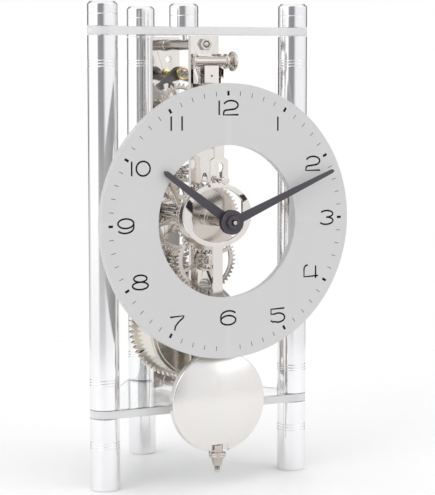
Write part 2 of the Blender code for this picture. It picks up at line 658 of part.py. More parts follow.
def make_train():
    """From the barrel up to the escape wheel, each wheel turns the pinion above it."""
    make_arbor("second_arbor", SECOND_Z, GREAT_IN + (GREAT_T - WHEEL_T) / 2, SECOND_PINION, GREAT_MODULE)
    make_wheel("second_wheel", SECOND_Z, SECOND_WHEEL_IN, gear_outline(SECOND_TEETH, SECOND_MODULE, UP),
               SECOND_MODULE * SECOND_TEETH / 2 - RIM_W)
    make_arbor("centre_arbor", DIAL_Z, SECOND_WHEEL_IN, CENTRE_PINION, SECOND_MODULE, front=ARBOR_TIP_Y,
               over=CENTRE_PINION_OVER)
    make_wheel("centre_wheel", DIAL_Z, CENTRE_WHEEL_IN, gear_outline(CENTRE_TEETH, UPPER_MODULE, UP),
               UPPER_MODULE * CENTRE_TEETH / 2 - RIM_W)
    make_arbor("third_arbor", THIRD_Z, CENTRE_WHEEL_IN, THIRD_PINION, UPPER_MODULE)
    make_wheel("third_wheel", THIRD_Z, THIRD_WHEEL_IN, gear_outline(THIRD_TEETH, UPPER_MODULE, UP),
               UPPER_MODULE * THIRD_TEETH / 2 - RIM_W)
    make_arbor("fourth_arbor", FOURTH_Z, THIRD_WHEEL_IN, FOURTH_PINION, UPPER_MODULE)
    make_wheel("fourth_wheel", FOURTH_Z, FOURTH_WHEEL_IN, gear_outline(FOURTH_TEETH, UPPER_MODULE, UP),
               UPPER_MODULE * FOURTH_TEETH / 2 - RIM_W)
    make_arbor("escape_arbor", ESCAPE_Z, FOURTH_WHEEL_IN, ESCAPE_PINION, UPPER_MODULE)
    make_wheel("escape_wheel", ESCAPE_Z, ESCAPE_WHEEL_IN,
               saw_outline(ESCAPE_TEETH, ESCAPE_R, 2.0 * MM, UP, 0.62), ESCAPE_R - 3.6 * MM,
               thickness=ESCAPE_T)


# ---------------------------------------------------------------- pallets
PALLET_CLEAR = 1.15 * MM    # the pallets stand this far off the wheel, so that it can be turned freely
PALLET_T = 3.0 * MM
COLLET_R = 3.4 * MM
COLLET_L = 3.0 * MM
CRUTCH_T = 1.0 * MM
CRUTCH_HUB_R = 2.0 * MM
CRUTCH_HALF_W = 1.3 * MM
CRUTCH_END = 1.6 * MM       # from the pin down to the crutch's end
CRUTCH_PIN_OVER = 2.0 * MM  # how far the pin passes through the pendulum's hanger
CRUTCH_Y = OUTER_FRONT - GAP - CRUTCH_T
CRUTCH_PIN_Z = PALLET_Z - 15.0 * MM
CRUTCH_PIN_R = 0.6 * MM
HANGER_Y = PENDULUM_Y - PENDULUM_T / 2 - GAP - HANGER_T / 2


def make_pallets():
    """The anchor over the escape wheel, its arbor, and the crutch that the pendulum carries along."""
    at = (0.0, MOVEMENT_Y, PALLET_Z)
    down = PALLET_Z - ESCAPE_Z
    near = ESCAPE_R + PALLET_CLEAR
    right = []
    for radius, degrees in ((near, 46), (near + 1.0 * MM, 53), (near + 3.4 * MM, 50)):
        angle = math.radians(degrees)
        right.append((radius * math.sin(angle), radius * math.cos(angle) - down))
    right += [(3.0 * MM, 2.6 * MM), (1.4 * MM, 3.4 * MM)]
    left = [(-a, b) for a, b in reversed(right)]
    arch_angle = math.radians(40)
    arch = near + 2.0 * MM
    inside = [(-arch * math.sin(arch_angle), arch * math.cos(arch_angle) - down),
              (0.0, -3.2 * MM),
              (arch * math.sin(arch_angle), arch * math.cos(arch_angle) - down)]
    low = INNER_FRONT + ESCAPE_WHEEL_IN - (PALLET_T - ESCAPE_T) / 2
    slab("pallets", [right + left + inside, circle(ARBOR_R + GAP, TINY)], low, low + PALLET_T,
         BLACK_STEEL, at)
    stack("pallet_arbor", [
        (CRUTCH_Y - CRUTCH_T, low - GAP - COLLET_L, circle(ARBOR_R, TINY)),
        (low - GAP - COLLET_L, low - GAP, circle(COLLET_R, SMALL)),
        (low - GAP, INNER_BACK - GAP, circle(ARBOR_R, TINY)),
        (INNER_BACK - GAP, OUTER_BACK, circle(PIVOT_R, TINY)),
    ], STEEL, at)
    reach = PALLET_Z - CRUTCH_PIN_Z
    arm = arc(CRUTCH_HUB_R, -math.pi * 0.3, math.pi * 1.3, TINY)
    arm += [(-CRUTCH_HALF_W, -reach - CRUTCH_END), (CRUTCH_HALF_W, -reach - CRUTCH_END)]
    crutch = slab("crutch", [arm, circle(ARBOR_R + GAP, TINY)], CRUTCH_Y, CRUTCH_Y + CRUTCH_T, STEEL, at)
    pin = stack("crutch_pin", [
        (SUSPENSION_Y - CRUTCH_PIN_OVER, CRUTCH_Y + CRUTCH_T / 2, circle(CRUTCH_PIN_R, TINY)),
    ], STEEL, (0.0, MOVEMENT_Y, CRUTCH_PIN_Z))
    join(crutch, pin)


# ---------------------------------------------------------------- motion work
MINUTE_WHEEL_Y = OUTER_FRONT - GAP - WHEEL_T
HOUR_WHEEL_Y = MINUTE_WHEEL_Y - 2 * GAP - WHEEL_T
MINUTE_PINION_Y = HOUR_WHEEL_Y - GAP
MINUTE_HUB_R = 5.6 * MM
POST_HEAD_R = 2.0 * MM
POST_HEAD_T = 1.0 * MM


def make_motion_work():
    """The cannon turns the minute wheel, and its pinion turns the hour wheel twelve times slower."""
    centre = (0.0, MOVEMENT_Y, DIAL_Z)
    low = (0.0, MOVEMENT_Y, MINUTE_Z)
    bore = ARBOR_R + RUN
    stack("cannon_pinion", [
        (MINUTE_FACE_Y, MINUTE_WHEEL_Y - GAP, circle(CANNON_R, SMALL)),
        (MINUTE_WHEEL_Y - GAP, OUTER_FRONT - GAP, gear_outline(CANNON_TEETH, MOTION_MODULE, DOWN)),
    ], BRASS, centre, bore=bore)
    pitch_r = MOTION_MODULE * MINUTE_TEETH / 2
    wheel = slab("minute_wheel", [
        gear_outline(MINUTE_TEETH, MOTION_MODULE, UP + math.pi / MINUTE_TEETH),
        circle(bore, SMALL), *spoke_windows(MINUTE_HUB_R, pitch_r - RIM_W, 4, SPOKE_W, UP / 4),
    ], MINUTE_WHEEL_Y, OUTER_FRONT - GAP, NICKEL, low)
    pinion = stack("minute_pinion", [
        (MINUTE_PINION_Y, MINUTE_WHEEL_Y + WHEEL_T / 2,
         gear_outline(MINUTE_PINION, HOUR_MODULE, UP + math.pi / MINUTE_PINION)),
    ], NICKEL, low, bore=bore)
    join(wheel, pinion)
    stack("minute_wheel_post", [
        (MINUTE_PINION_Y - GAP - POST_HEAD_T, MINUTE_PINION_Y - GAP, circle(POST_HEAD_R, SMALL)),
        (MINUTE_PINION_Y - GAP, INNER_FRONT, circle(ARBOR_R, TINY)),
    ], STEEL, low)
    hour = slab("hour_wheel", [
        gear_outline(HOUR_TEETH, HOUR_MODULE, DOWN), circle(CANNON_R + RUN, SMALL),
    ], HOUR_WHEEL_Y, HOUR_WHEEL_Y + WHEEL_T, NICKEL, centre)
    pipe = stack("hour_pipe", [
        (HOUR_FACE_Y, HOUR_WHEEL_Y + WHEEL_T / 2, circle(HOUR_PIPE_R, SMALL)),
    ], BRASS, centre, bore=CANNON_R + RUN)
    join(hour, pipe)


# ---------------------------------------------------------------- suspension
SPRING_T = 0.25 * MM
SPRING_BACK = 2.5 * MM      # from the rod's axis back to the spring's rear edge
SPRING_HALF_L = 1.6 * MM
BLOCK_HALF_W = 3.9 * MM
BLOCK_FRONT = 2.0 * MM      # from the rod's axis forwards to the block's face
BLOCK_BACK = BEAT_ROD_R + 1.1 * MM
BLOCK_LOW = PALLET_Z + SPRING_HALF_L + GAP
BLOCK_OVER = 1.0 * MM       # how far the block reaches up behind the rod's axis
SKIRT_T = 1.0 * MM
SKIRT_LOW = BEAT_Z - 11.0 * MM
SKIRT_HOLE_R = 0.6 * MM
SKIRT_HOLE_Z = BEAT_Z - 7.1 * MM
CLAMP_TOP = PALLET_Z - SPRING_HALF_L
EAR_IN = 5.6 * MM           # centre line to the inside of an ear
EAR_T = 1.4 * MM
EAR_FRONT = 1.0 * MM        # from the rod's axis forwards to the ears' open ends
BRACKET_WALL = 1.2 * MM
KNOB_L = 4.0 * MM
KNOB_RIM = 1.2 * MM
KNOB_NECK_R = 2.0 * MM
WASHER_L = 1.2 * MM


def make_suspension():
    """A bracket on the front plate holds the beat screw, whose half nut carries the spring."""
    back = OUTER_FRONT - GAP
    front = SUSPENSION_Y - EAR_FRONT
    outer = EAR_IN + EAR_T
    outline = [(-outer, back), (-outer, front), (-EAR_IN, front), (-EAR_IN, back - BRACKET_WALL),
               (EAR_IN, back - BRACKET_WALL), (EAR_IN, front), (outer, front), (outer, back)]
    at = (0.0, SUSPENSION_Y, BEAT_Z)
    half = BEAT_ROD_R + BRACKET_WALL
    bracket = slab("suspension_bracket", [[(x, y - SUSPENSION_Y) for x, y in outline]],
                   BEAT_Z - half, BEAT_Z + half, NICKEL, at, axis="Z")
    for side, middle in (("left", -EAR_IN - EAR_T / 2), ("right", EAR_IN + EAR_T / 2)):
        ear = box_outline(EAR_T, -EAR_FRONT, back - SUSPENSION_Y - BRACKET_WALL, middle)
        join(bracket, slab(side + "_ear", [ear], SKIRT_LOW, BEAT_Z, NICKEL, at, axis="Z"))
    cut(bracket, stack("bracket_bore", [(-2 * outer, 2 * outer, circle(BEAT_ROD_R + RUN, SMALL))],
                       STEEL, at, axis="X"))
    washer = BEAT_RIGHT - KNOB_L - WASHER_L
    washer_r = BEAT_ROD_R * 1.5
    turned("beat_screw", [
        (BEAT_ROD_R, -BEAT_LEFT), (BEAT_ROD_R, washer), (washer_r, washer), (washer_r, washer + WASHER_L),
        (KNOB_NECK_R, washer + WASHER_L), (BEAT_KNOB_R, BEAT_RIGHT - KNOB_RIM), (BEAT_KNOB_R, BEAT_RIGHT),
    ], NICKEL, at, axis="X")
    low = BLOCK_LOW - BEAT_Z
    side_view = [(-BLOCK_FRONT, SKIRT_LOW - BEAT_Z), (SKIRT_T - BLOCK_FRONT, SKIRT_LOW - BEAT_Z),
                 (SKIRT_T - BLOCK_FRONT, low), (BLOCK_BACK, low), (BLOCK_BACK, BLOCK_OVER),
                 (-BLOCK_FRONT, BLOCK_OVER)]
    block = slab("suspension_block", [side_view], -BLOCK_HALF_W, BLOCK_HALF_W, NICKEL, at, axis="X")
    cut(block, stack("block_bore", [(-outer, outer, circle(BEAT_ROD_R + GAP, SMALL))], STEEL, at, axis="X"))
    skirt_back = SUSPENSION_Y - BLOCK_FRONT + SKIRT_T
    cut(block, stack("skirt_hole", [
        (skirt_back - 2 * SKIRT_T, skirt_back + SKIRT_T, circle(SKIRT_HOLE_R, TINY)),
    ], STEEL, (0.0, SUSPENSION_Y, SKIRT_HOLE_Z)))
    slab("suspension_spring", [box_outline(SPRING_T, SKIRT_T - BLOCK_FRONT + GAP, SPRING_BACK)],
         CLAMP_TOP + GAP, BLOCK_LOW - GAP, STEEL, (0.0, SUSPENSION_Y, PALLET_Z), axis="Z")


# ---------------------------------------------------------------- pendulum
PIVOT = (0.0, SUSPENSION_Y, PALLET_Z)
HEAD_TOP = HOOK_Z + 10.9 * MM
HEAD_LOW = HOOK_Z - 3.6 * MM
CRANK_HIGH = HEAD_TOP + 20 * MM
CRANK_LOW = HEAD_TOP + 7 * MM
HOOK_NECK_R = 1.2 * MM
HOOK_HEAD_R = 2.0 * MM
HOOK_REACH = 5.5 * MM           # from the hanger forwards to the back of the hook's head
HOOK_HEAD_T = 1.3 * MM
CRUTCH_PLAY = 0.7 * MM
KEYHOLE_R = HOOK_HEAD_R + GAP
KEYHOLE_UP = 6.2 * MM           # from the hook to the middle of the keyhole's round end
ROD_TOP = BOB_Z + BOB_R + 4.0 * MM
NUT_FLANGE_H = 2.9 * MM
NUT_COLLAR_R = 2.9 * MM        # the nut's collar, which goes up into the bob's notch
NOTCH_H = 3.9 * MM
NOTCH_SIDE = 0.5 * MM        # beside the nut in the bob's notch
BOB_DOME = ((0.3, 1.0), (0.6, 0.68), (0.86, 0.38))      # shares of the radius and of the crown's height
BOB_CHAMFER = 0.5 * MM
NUT_CHAMFER = 0.5 * MM
NUT_STEM_R = 2.6 * MM
NUT_STEM_END_R = 2.2 * MM
NUT_STEM_L = 3.8 * MM


def make_hanger():
    """A strip from the suspension spring, cranked forwards to a head with a keyhole."""
    narrow = BAR_W / 2
    wide = HANGER_END_W / 2
    clamp = HANGER_W / 2
    levels = [(CLAMP_TOP, SUSPENSION_Y, clamp), (CLAMP_TOP - 5 * MM, SUSPENSION_Y, clamp),
              (CLAMP_TOP - 5.6 * MM, SUSPENSION_Y, narrow), (CRANK_HIGH, SUSPENSION_Y, narrow),
              (CRANK_LOW, HANGER_Y, narrow), (HEAD_TOP, HANGER_Y, narrow),
              (HEAD_TOP - 1.2 * MM, HANGER_Y, wide), (HEAD_LOW, HANGER_Y, wide)]
    bm = bmesh.new()
    loops = []
    for z, y, half in levels:
        outline = box_outline(2 * half, y - HANGER_T / 2, y + HANGER_T / 2)
        loops.append(ring(bm, outline, z, "Z", PIVOT))
    for one, other in zip(loops, loops[1:]):
        wall(bm, one, other)
    fill(bm, [loops[0]])
    fill(bm, [loops[-1]])
    hanger = finish("pendulum_hanger", bm, PIVOT, NICKEL)
    through = (HANGER_Y - HANGER_T, HANGER_Y + HANGER_T)
    slot_half = HOOK_NECK_R + RUN
    lean = math.asin(slot_half / KEYHOLE_R)
    top = HOOK_Z + KEYHOLE_UP
    keyhole = arc(KEYHOLE_R, DOWN + lean, DOWN + 2 * math.pi - lean, TINY, (0.0, top))
    keyhole += arc(slot_half, -math.pi, 0.0, 5, (0.0, HOOK_Z))
    cut(hanger, slab("keyhole", [[(a, b - PALLET_Z) for a, b in keyhole]], *through, NICKEL, PIVOT))
    play = CRUTCH_PIN_R + CRUTCH_PLAY
    slot = box_outline(2 * play, CRUTCH_PIN_Z - 2 * MM - PALLET_Z, CRUTCH_PIN_Z + 2 * MM - PALLET_Z)
    cut(hanger, slab("crutch_slot", [slot], SUSPENSION_Y - HANGER_T, SUSPENSION_Y + HANGER_T, NICKEL, PIVOT))


def make_pendulum_frame():
    """A ring that lets the hour pipe through, with a hook above it and a flat bar below."""
    flat = math.acos(RING_FLAT / RING_HOLE_R)
    ring_z = RING_Z - PALLET_Z
    ring_half_w = RING_R * RING_STRETCH
    upper = arc(RING_R, -UP + math.asin(BAR_W / 2 / ring_half_w), UP - math.asin(HANGER_W / 2 / ring_half_w),
                MEDIUM, (0.0, ring_z))
    upper = [(a * RING_STRETCH, b) for a, b in upper]
    tongue_top = HOOK_Z + 4.0 * MM - PALLET_Z
    half = HANGER_W / 2
    right = [(BAR_W / 2, ROD_TOP + GAP - PALLET_Z)] + upper + [(half, tongue_top)]
    outline = right + [(-a, b) for a, b in reversed(right)]
    hole = arc(RING_HOLE_R, -UP + flat, UP - flat, TINY, (0.0, ring_z))
    hole += arc(RING_HOLE_R, UP + flat, 3 * UP - flat, TINY, (0.0, ring_z))
    hole = [(a * RING_STRETCH, b) for a, b in hole]
    low = PENDULUM_Y - PENDULUM_T / 2
    frame = slab("pendulum_frame", [outline, hole], low, low + PENDULUM_T, NICKEL, PIVOT)
    head = HANGER_Y - HANGER_T / 2 - GAP
    hook = stack("hook", [
        (head - HOOK_REACH - HOOK_HEAD_T, head - HOOK_REACH, circle(HOOK_HEAD_R, SMALL)),
        (head - HOOK_REACH, low + PENDULUM_T / 2, circle(HOOK_NECK_R, TINY)),
    ], NICKEL, (0.0, PENDULUM_Y, HOOK_Z))
    join(frame, hook)
    turned("pendulum_rod", [(ROD_R, ROD_END_Z), (ROD_R, ROD_TOP)], STEEL, (0.0, PENDULUM_Y, 0.0), count=TINY)


def make_bob():
    """A heavy lens-shaped bob on the rod, resting on its rating nut."""
    at = (0.0, PENDULUM_Y, BOB_Z)
    rim = BOB_RIM / 2
    crown = BOB_T / 2
    half = [(BOB_R * share, rim + height * (crown - rim)) for share, height in BOB_DOME]
    half += [(BOB_R - BOB_CHAMFER, rim), (BOB_R, rim - BOB_CHAMFER)]
    profile = [(r, PENDULUM_Y - t) for r, t in half] + [(r, PENDULUM_Y + t) for r, t in reversed(half)]
    bob = turned("bob", profile, SATIN, at, axis="Y", count=32)
    rod = turned("bob_bore", [(ROD_R + RUN, BOB_Z - 2 * BOB_R), (ROD_R + RUN, BOB_Z + 2 * BOB_R)], SATIN,
                 (0.0, PENDULUM_Y, 0.0), count=TINY)
    cut(bob, rod)
    foot = BOB_Z - BOB_R
    notch = slab("bob_notch", [box_outline(2 * (NUT_R + NOTCH_SIDE), -BOB_R, BOB_R)], foot - BOB_T,
                 foot + NOTCH_H, SATIN, (0.0, PENDULUM_Y, 0.0), axis="Z")
    cut(bob, notch)
    top = foot + NOTCH_H - GAP
    bore = ROD_R + GAP
    flange_top = foot - GAP
    flange_low = flange_top - NUT_FLANGE_H
    stem_low = flange_low - NUT_STEM_L
    turned("rating_nut", [
        (bore, top), (NUT_COLLAR_R, top), (NUT_COLLAR_R, flange_top),
        (NUT_R - NUT_CHAMFER, flange_top), (NUT_R, flange_top - NUT_CHAMFER),
        (NUT_R, flange_low + NUT_CHAMFER), (NUT_R - NUT_CHAMFER, flange_low),
        (NUT_STEM_R, flange_low), (NUT_STEM_END_R, stem_low), (bore, stem_low),
    ], NICKEL, (0.0, PENDULUM_Y, 0.0), count=SMALL, closed=True)


make_plates()
make_pillars()
make_dial_and_hands()
make_movement_plates()
make_spacers()
make_barrel()
make_click()
make_train()
make_pallets()
make_motion_work()
make_suspension()
make_hanger()
make_pendulum_frame()
make_bob()
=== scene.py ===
"""A mantel skeleton clock, put together in the order in which it is built."""
import json
import math

import bmesh
import bpy
from mathutils import Matrix, Vector


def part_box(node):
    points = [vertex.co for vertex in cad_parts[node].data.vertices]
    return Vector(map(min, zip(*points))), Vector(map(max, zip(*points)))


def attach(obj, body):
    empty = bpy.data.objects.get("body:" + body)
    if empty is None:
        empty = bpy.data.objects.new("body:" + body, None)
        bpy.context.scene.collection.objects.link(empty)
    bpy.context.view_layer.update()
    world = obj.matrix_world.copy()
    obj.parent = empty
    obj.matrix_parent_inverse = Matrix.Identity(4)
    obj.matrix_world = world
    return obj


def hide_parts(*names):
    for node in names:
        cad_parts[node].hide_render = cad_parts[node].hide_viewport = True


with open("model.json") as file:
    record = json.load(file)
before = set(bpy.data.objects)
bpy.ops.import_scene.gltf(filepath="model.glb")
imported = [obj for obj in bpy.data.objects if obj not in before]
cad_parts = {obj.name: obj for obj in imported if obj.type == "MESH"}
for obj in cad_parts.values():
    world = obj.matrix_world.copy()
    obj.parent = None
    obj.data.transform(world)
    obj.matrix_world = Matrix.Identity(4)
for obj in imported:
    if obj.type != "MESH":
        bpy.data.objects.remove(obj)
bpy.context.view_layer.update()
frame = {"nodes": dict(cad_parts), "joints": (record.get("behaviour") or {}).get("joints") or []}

# ================================================================ the studio
# A pale table in a white tent. Softboxes stand to both sides, with dark cards between
# them and the backdrop, so that the round metal shows a thin dark line near each edge.
scene = bpy.context.scene
scene.view_settings.view_transform = "Standard"

lens = bpy.data.cameras.new("camera")
lens.lens = 132.39
lens.sensor_width = 36.0
lens.clip_start = 0.05
lens.clip_end = 50.0
camera = bpy.data.objects.new("camera", lens)
camera.location = (-0.40320, -0.83543, 0.21027)
camera.rotation_euler = (math.pi / 2 - 0.10108, 0.0, -0.46865)
scene.collection.objects.link(camera)
scene.camera = camera

tent = bpy.data.worlds.new("tent")
tent.use_nodes = True
scene.world = tent
tent_nodes, tent_links = tent.node_tree.nodes, tent.node_tree.links
direction = tent_nodes.new("ShaderNodeTexCoord")
facing = tent_nodes.new("ShaderNodeMapping")
facing.inputs["Rotation"].default_value = (0.0, 0.0, 0.46865 - math.pi / 2)
round_about = tent_nodes.new("ShaderNodeTexGradient")
round_about.gradient_type = "RADIAL"
walls = tent_nodes.new("ShaderNodeValToRGB")
# brightness of the walls, clockwise from behind the camera and back to it
WALLS = [(0.0, 0.28), (0.022, 0.30), (0.05, 0.75), (0.07, 0.97), (0.26, 1.0), (0.35, 0.85), (0.375, 0.80),
         (0.39, 0.02), (0.46, 0.02), (0.47, 1.05), (0.53, 1.05), (0.54, 0.02), (0.61, 0.02), (0.625, 0.70),
         (0.667, 0.80), (0.70, 1.30), (0.892, 1.30), (0.916, 0.32), (1.0, 0.28)]
walls.color_ramp.elements.remove(walls.color_ramp.elements[1])
for i, (place, light) in enumerate(WALLS):
    stop = walls.color_ramp.elements[0] if i == 0 else walls.color_ramp.elements.new(place)
    stop.position = place
    stop.color = (light, light, light * 1.01, 1.0)
height = tent_nodes.new("ShaderNodeSeparateXYZ")
tent_links.new(direction.outputs["Generated"], facing.inputs["Vector"])
tent_links.new(facing.outputs["Vector"], round_about.inputs["Vector"])
tent_links.new(round_about.outputs["Fac"], walls.inputs["Fac"])
tent_links.new(direction.outputs["Generated"], height.inputs["Vector"])


def tent_part(tone, start, full, most, before):
    """Blends one even tone over the walls between two heights."""
    rise = tent_nodes.new("ShaderNodeMapRange")
    rise.inputs["From Min"].default_value = start
    rise.inputs["From Max"].default_value = full
    rise.inputs["To Max"].default_value = most
    cover = tent_nodes.new("ShaderNodeMix")
    cover.data_type = "RGBA"
    cover.inputs["B"].default_value = (tone, tone, tone, 1.0)
    tent_links.new(height.outputs["Z"], rise.inputs["Value"])
    tent_links.new(rise.outputs["Result"], cover.inputs["Factor"])
    tent_links.new(before, cover.inputs["A"])
    return cover.outputs["Result"]


studio_light = tent_part(1.05, 0.35, 0.75, 1.0, walls.outputs["Color"])
studio_light = tent_part(0.86, -0.03, -0.14, 0.7, studio_light)
plain = tent_nodes.new("ShaderNodeMix")
plain.data_type = "RGBA"
plain.inputs["B"].default_value = (1.0, 1.0, 1.0, 1.0)
seen = tent_nodes.new("ShaderNodeLightPath")
tent_links.new(seen.outputs["Is Camera Ray"], plain.inputs["Factor"])
tent_links.new(studio_light, plain.inputs["A"])
tent_links.new(plain.outputs["Result"], tent_nodes["Background"].inputs["Color"])
tent_nodes["Background"].inputs["Strength"].default_value = 1.0


def softbox(name, place, size, power):
    """A square light that points at the middle of the clock."""
    light = bpy.data.lights.new(name, "AREA")
    light.shape = "SQUARE"
    light.size = size
    light.energy = power
    lamp = bpy.data.objects.new(name, light)
    lamp.location = place
    lamp.rotation_euler = (Vector(place) - Vector((0.0, 0.0, 0.12))).to_track_quat("Z", "Y").to_euler()
    scene.collection.objects.link(lamp)


softbox("key_light", (-1.1, -0.7, 1.1), 0.9, 4.0)
softbox("fill_light", (0.9, -1.1, 0.8), 0.9, 2.0)

table_mesh = bpy.data.meshes.new("table")
table_bm = bmesh.new()
bmesh.ops.create_circle(table_bm, cap_ends=True, segments=96, radius=0.45)
table_bm.to_mesh(table_mesh)
table_bm.free()
table = bpy.data.objects.new("table", table_mesh)
table_paint = bpy.data.materials.new("table_paint")
table_paint.use_nodes = True
table_shader = table_paint.node_tree.nodes["Principled BSDF"]
table_shader.inputs["Base Color"].default_value = (0.99, 0.99, 0.99, 1.0)
table_shader.inputs["Roughness"].default_value = 0.6
table_mesh.materials.append(table_paint)
scene.collection.objects.link(table)

# ================================================================ clear plates
# Two triangular plates of cast acrylic, 4 mm thick with rounded corners and polished edges.
# Each is drilled for the pillars' spigots, and the upper one also for the movement's screw.
PILLAR_R = 7.35
CORNERS = {}
for corner_name in ("left", "right", "rear"):
    leg_low, leg_high = (1000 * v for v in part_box(corner_name + "_leg"))
    CORNERS[corner_name] = (leg_low + leg_high) / 2
MOVEMENT_Y = 1000 * sum(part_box("movement_finial"), Vector()).y / 2


def box_mm(node):
    """The lowest and highest corner of a CAD piece, in millimetres."""
    low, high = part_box(node)
    return low * 1000, high * 1000


def drill(bm, radius, centre=(0.0, 0.0), steps=32):
    """The edge of a round hole or disc."""
    bmesh.ops.create_circle(bm, cap_ends=False, segments=steps, radius=radius,
                            matrix=Matrix.Translation((centre[0], centre[1], 0.0)))


def sweep(bm, start, centre, angle, steps):
    """Draws an arc from a vertex about a centre, and returns the vertex at its end."""
    swept = bmesh.ops.spin(bm, geom=[start], cent=(centre[0], centre[1], 0.0), axis=(0, 0, 1), dvec=(0, 0, 0),
                           angle=angle, steps=steps, use_merge=False, use_duplicate=False)
    return [v for v in swept["geom_last"] if isinstance(v, bmesh.types.BMVert)][0]


def thicken(bm, low, high):
    """Fills every outline drawn so far, holes left open, and gives the sheet its thickness."""
    filled = bmesh.ops.triangle_fill(bm, use_beauty=True, use_dissolve=False, edges=bm.edges)
    faces = [f for f in filled["geom"] if isinstance(f, bmesh.types.BMFace)]
    bmesh.ops.translate(bm, vec=(0, 0, low), verts=bm.verts)
    grown = bmesh.ops.extrude_face_region(bm, geom=faces)
    top = [v for v in grown["geom"] if isinstance(v, bmesh.types.BMVert)]
    bmesh.ops.translate(bm, vec=(0, 0, high - low), verts=top)


def piece_of(name, bm, finish, round_edge=0.1, steps=2):
    """Turns a drawing in millimetres into an object in metres, with its edges softened."""
    bmesh.ops.remove_doubles(bm, verts=bm.verts, dist=0.0005)
    bmesh.ops.recalc_face_normals(bm, faces=bm.faces)
    bmesh.ops.scale(bm, vec=(0.001, 0.001, 0.001), verts=bm.verts)
    mesh = bpy.data.meshes.new(name)
    bm.to_mesh(mesh)
    bm.free()
    mesh.shade_smooth()
    mesh.materials.append(finish)
    made = bpy.data.objects.new(name, mesh)
    scene.collection.objects.link(made)
    if round_edge:
        softened = made.modifiers.new("softened_edges", "BEVEL")
        softened.width = round_edge / 1000
        softened.segments = steps
        softened.limit_method = "ANGLE"
        softened.angle_limit = math.radians(28)
        softened.use_clamp_overlap = False
        evened = made.modifiers.new("even_shading", "WEIGHTED_NORMAL")
        evened.keep_sharp = True
    else:
        mesh.set_sharp_from_angle(angle=math.radians(28))
    return made


def fit(made, body, slot, *nodes):
    """Hangs a finished piece on its body in place of its CAD pieces."""
    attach(made, body)
    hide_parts(*nodes)


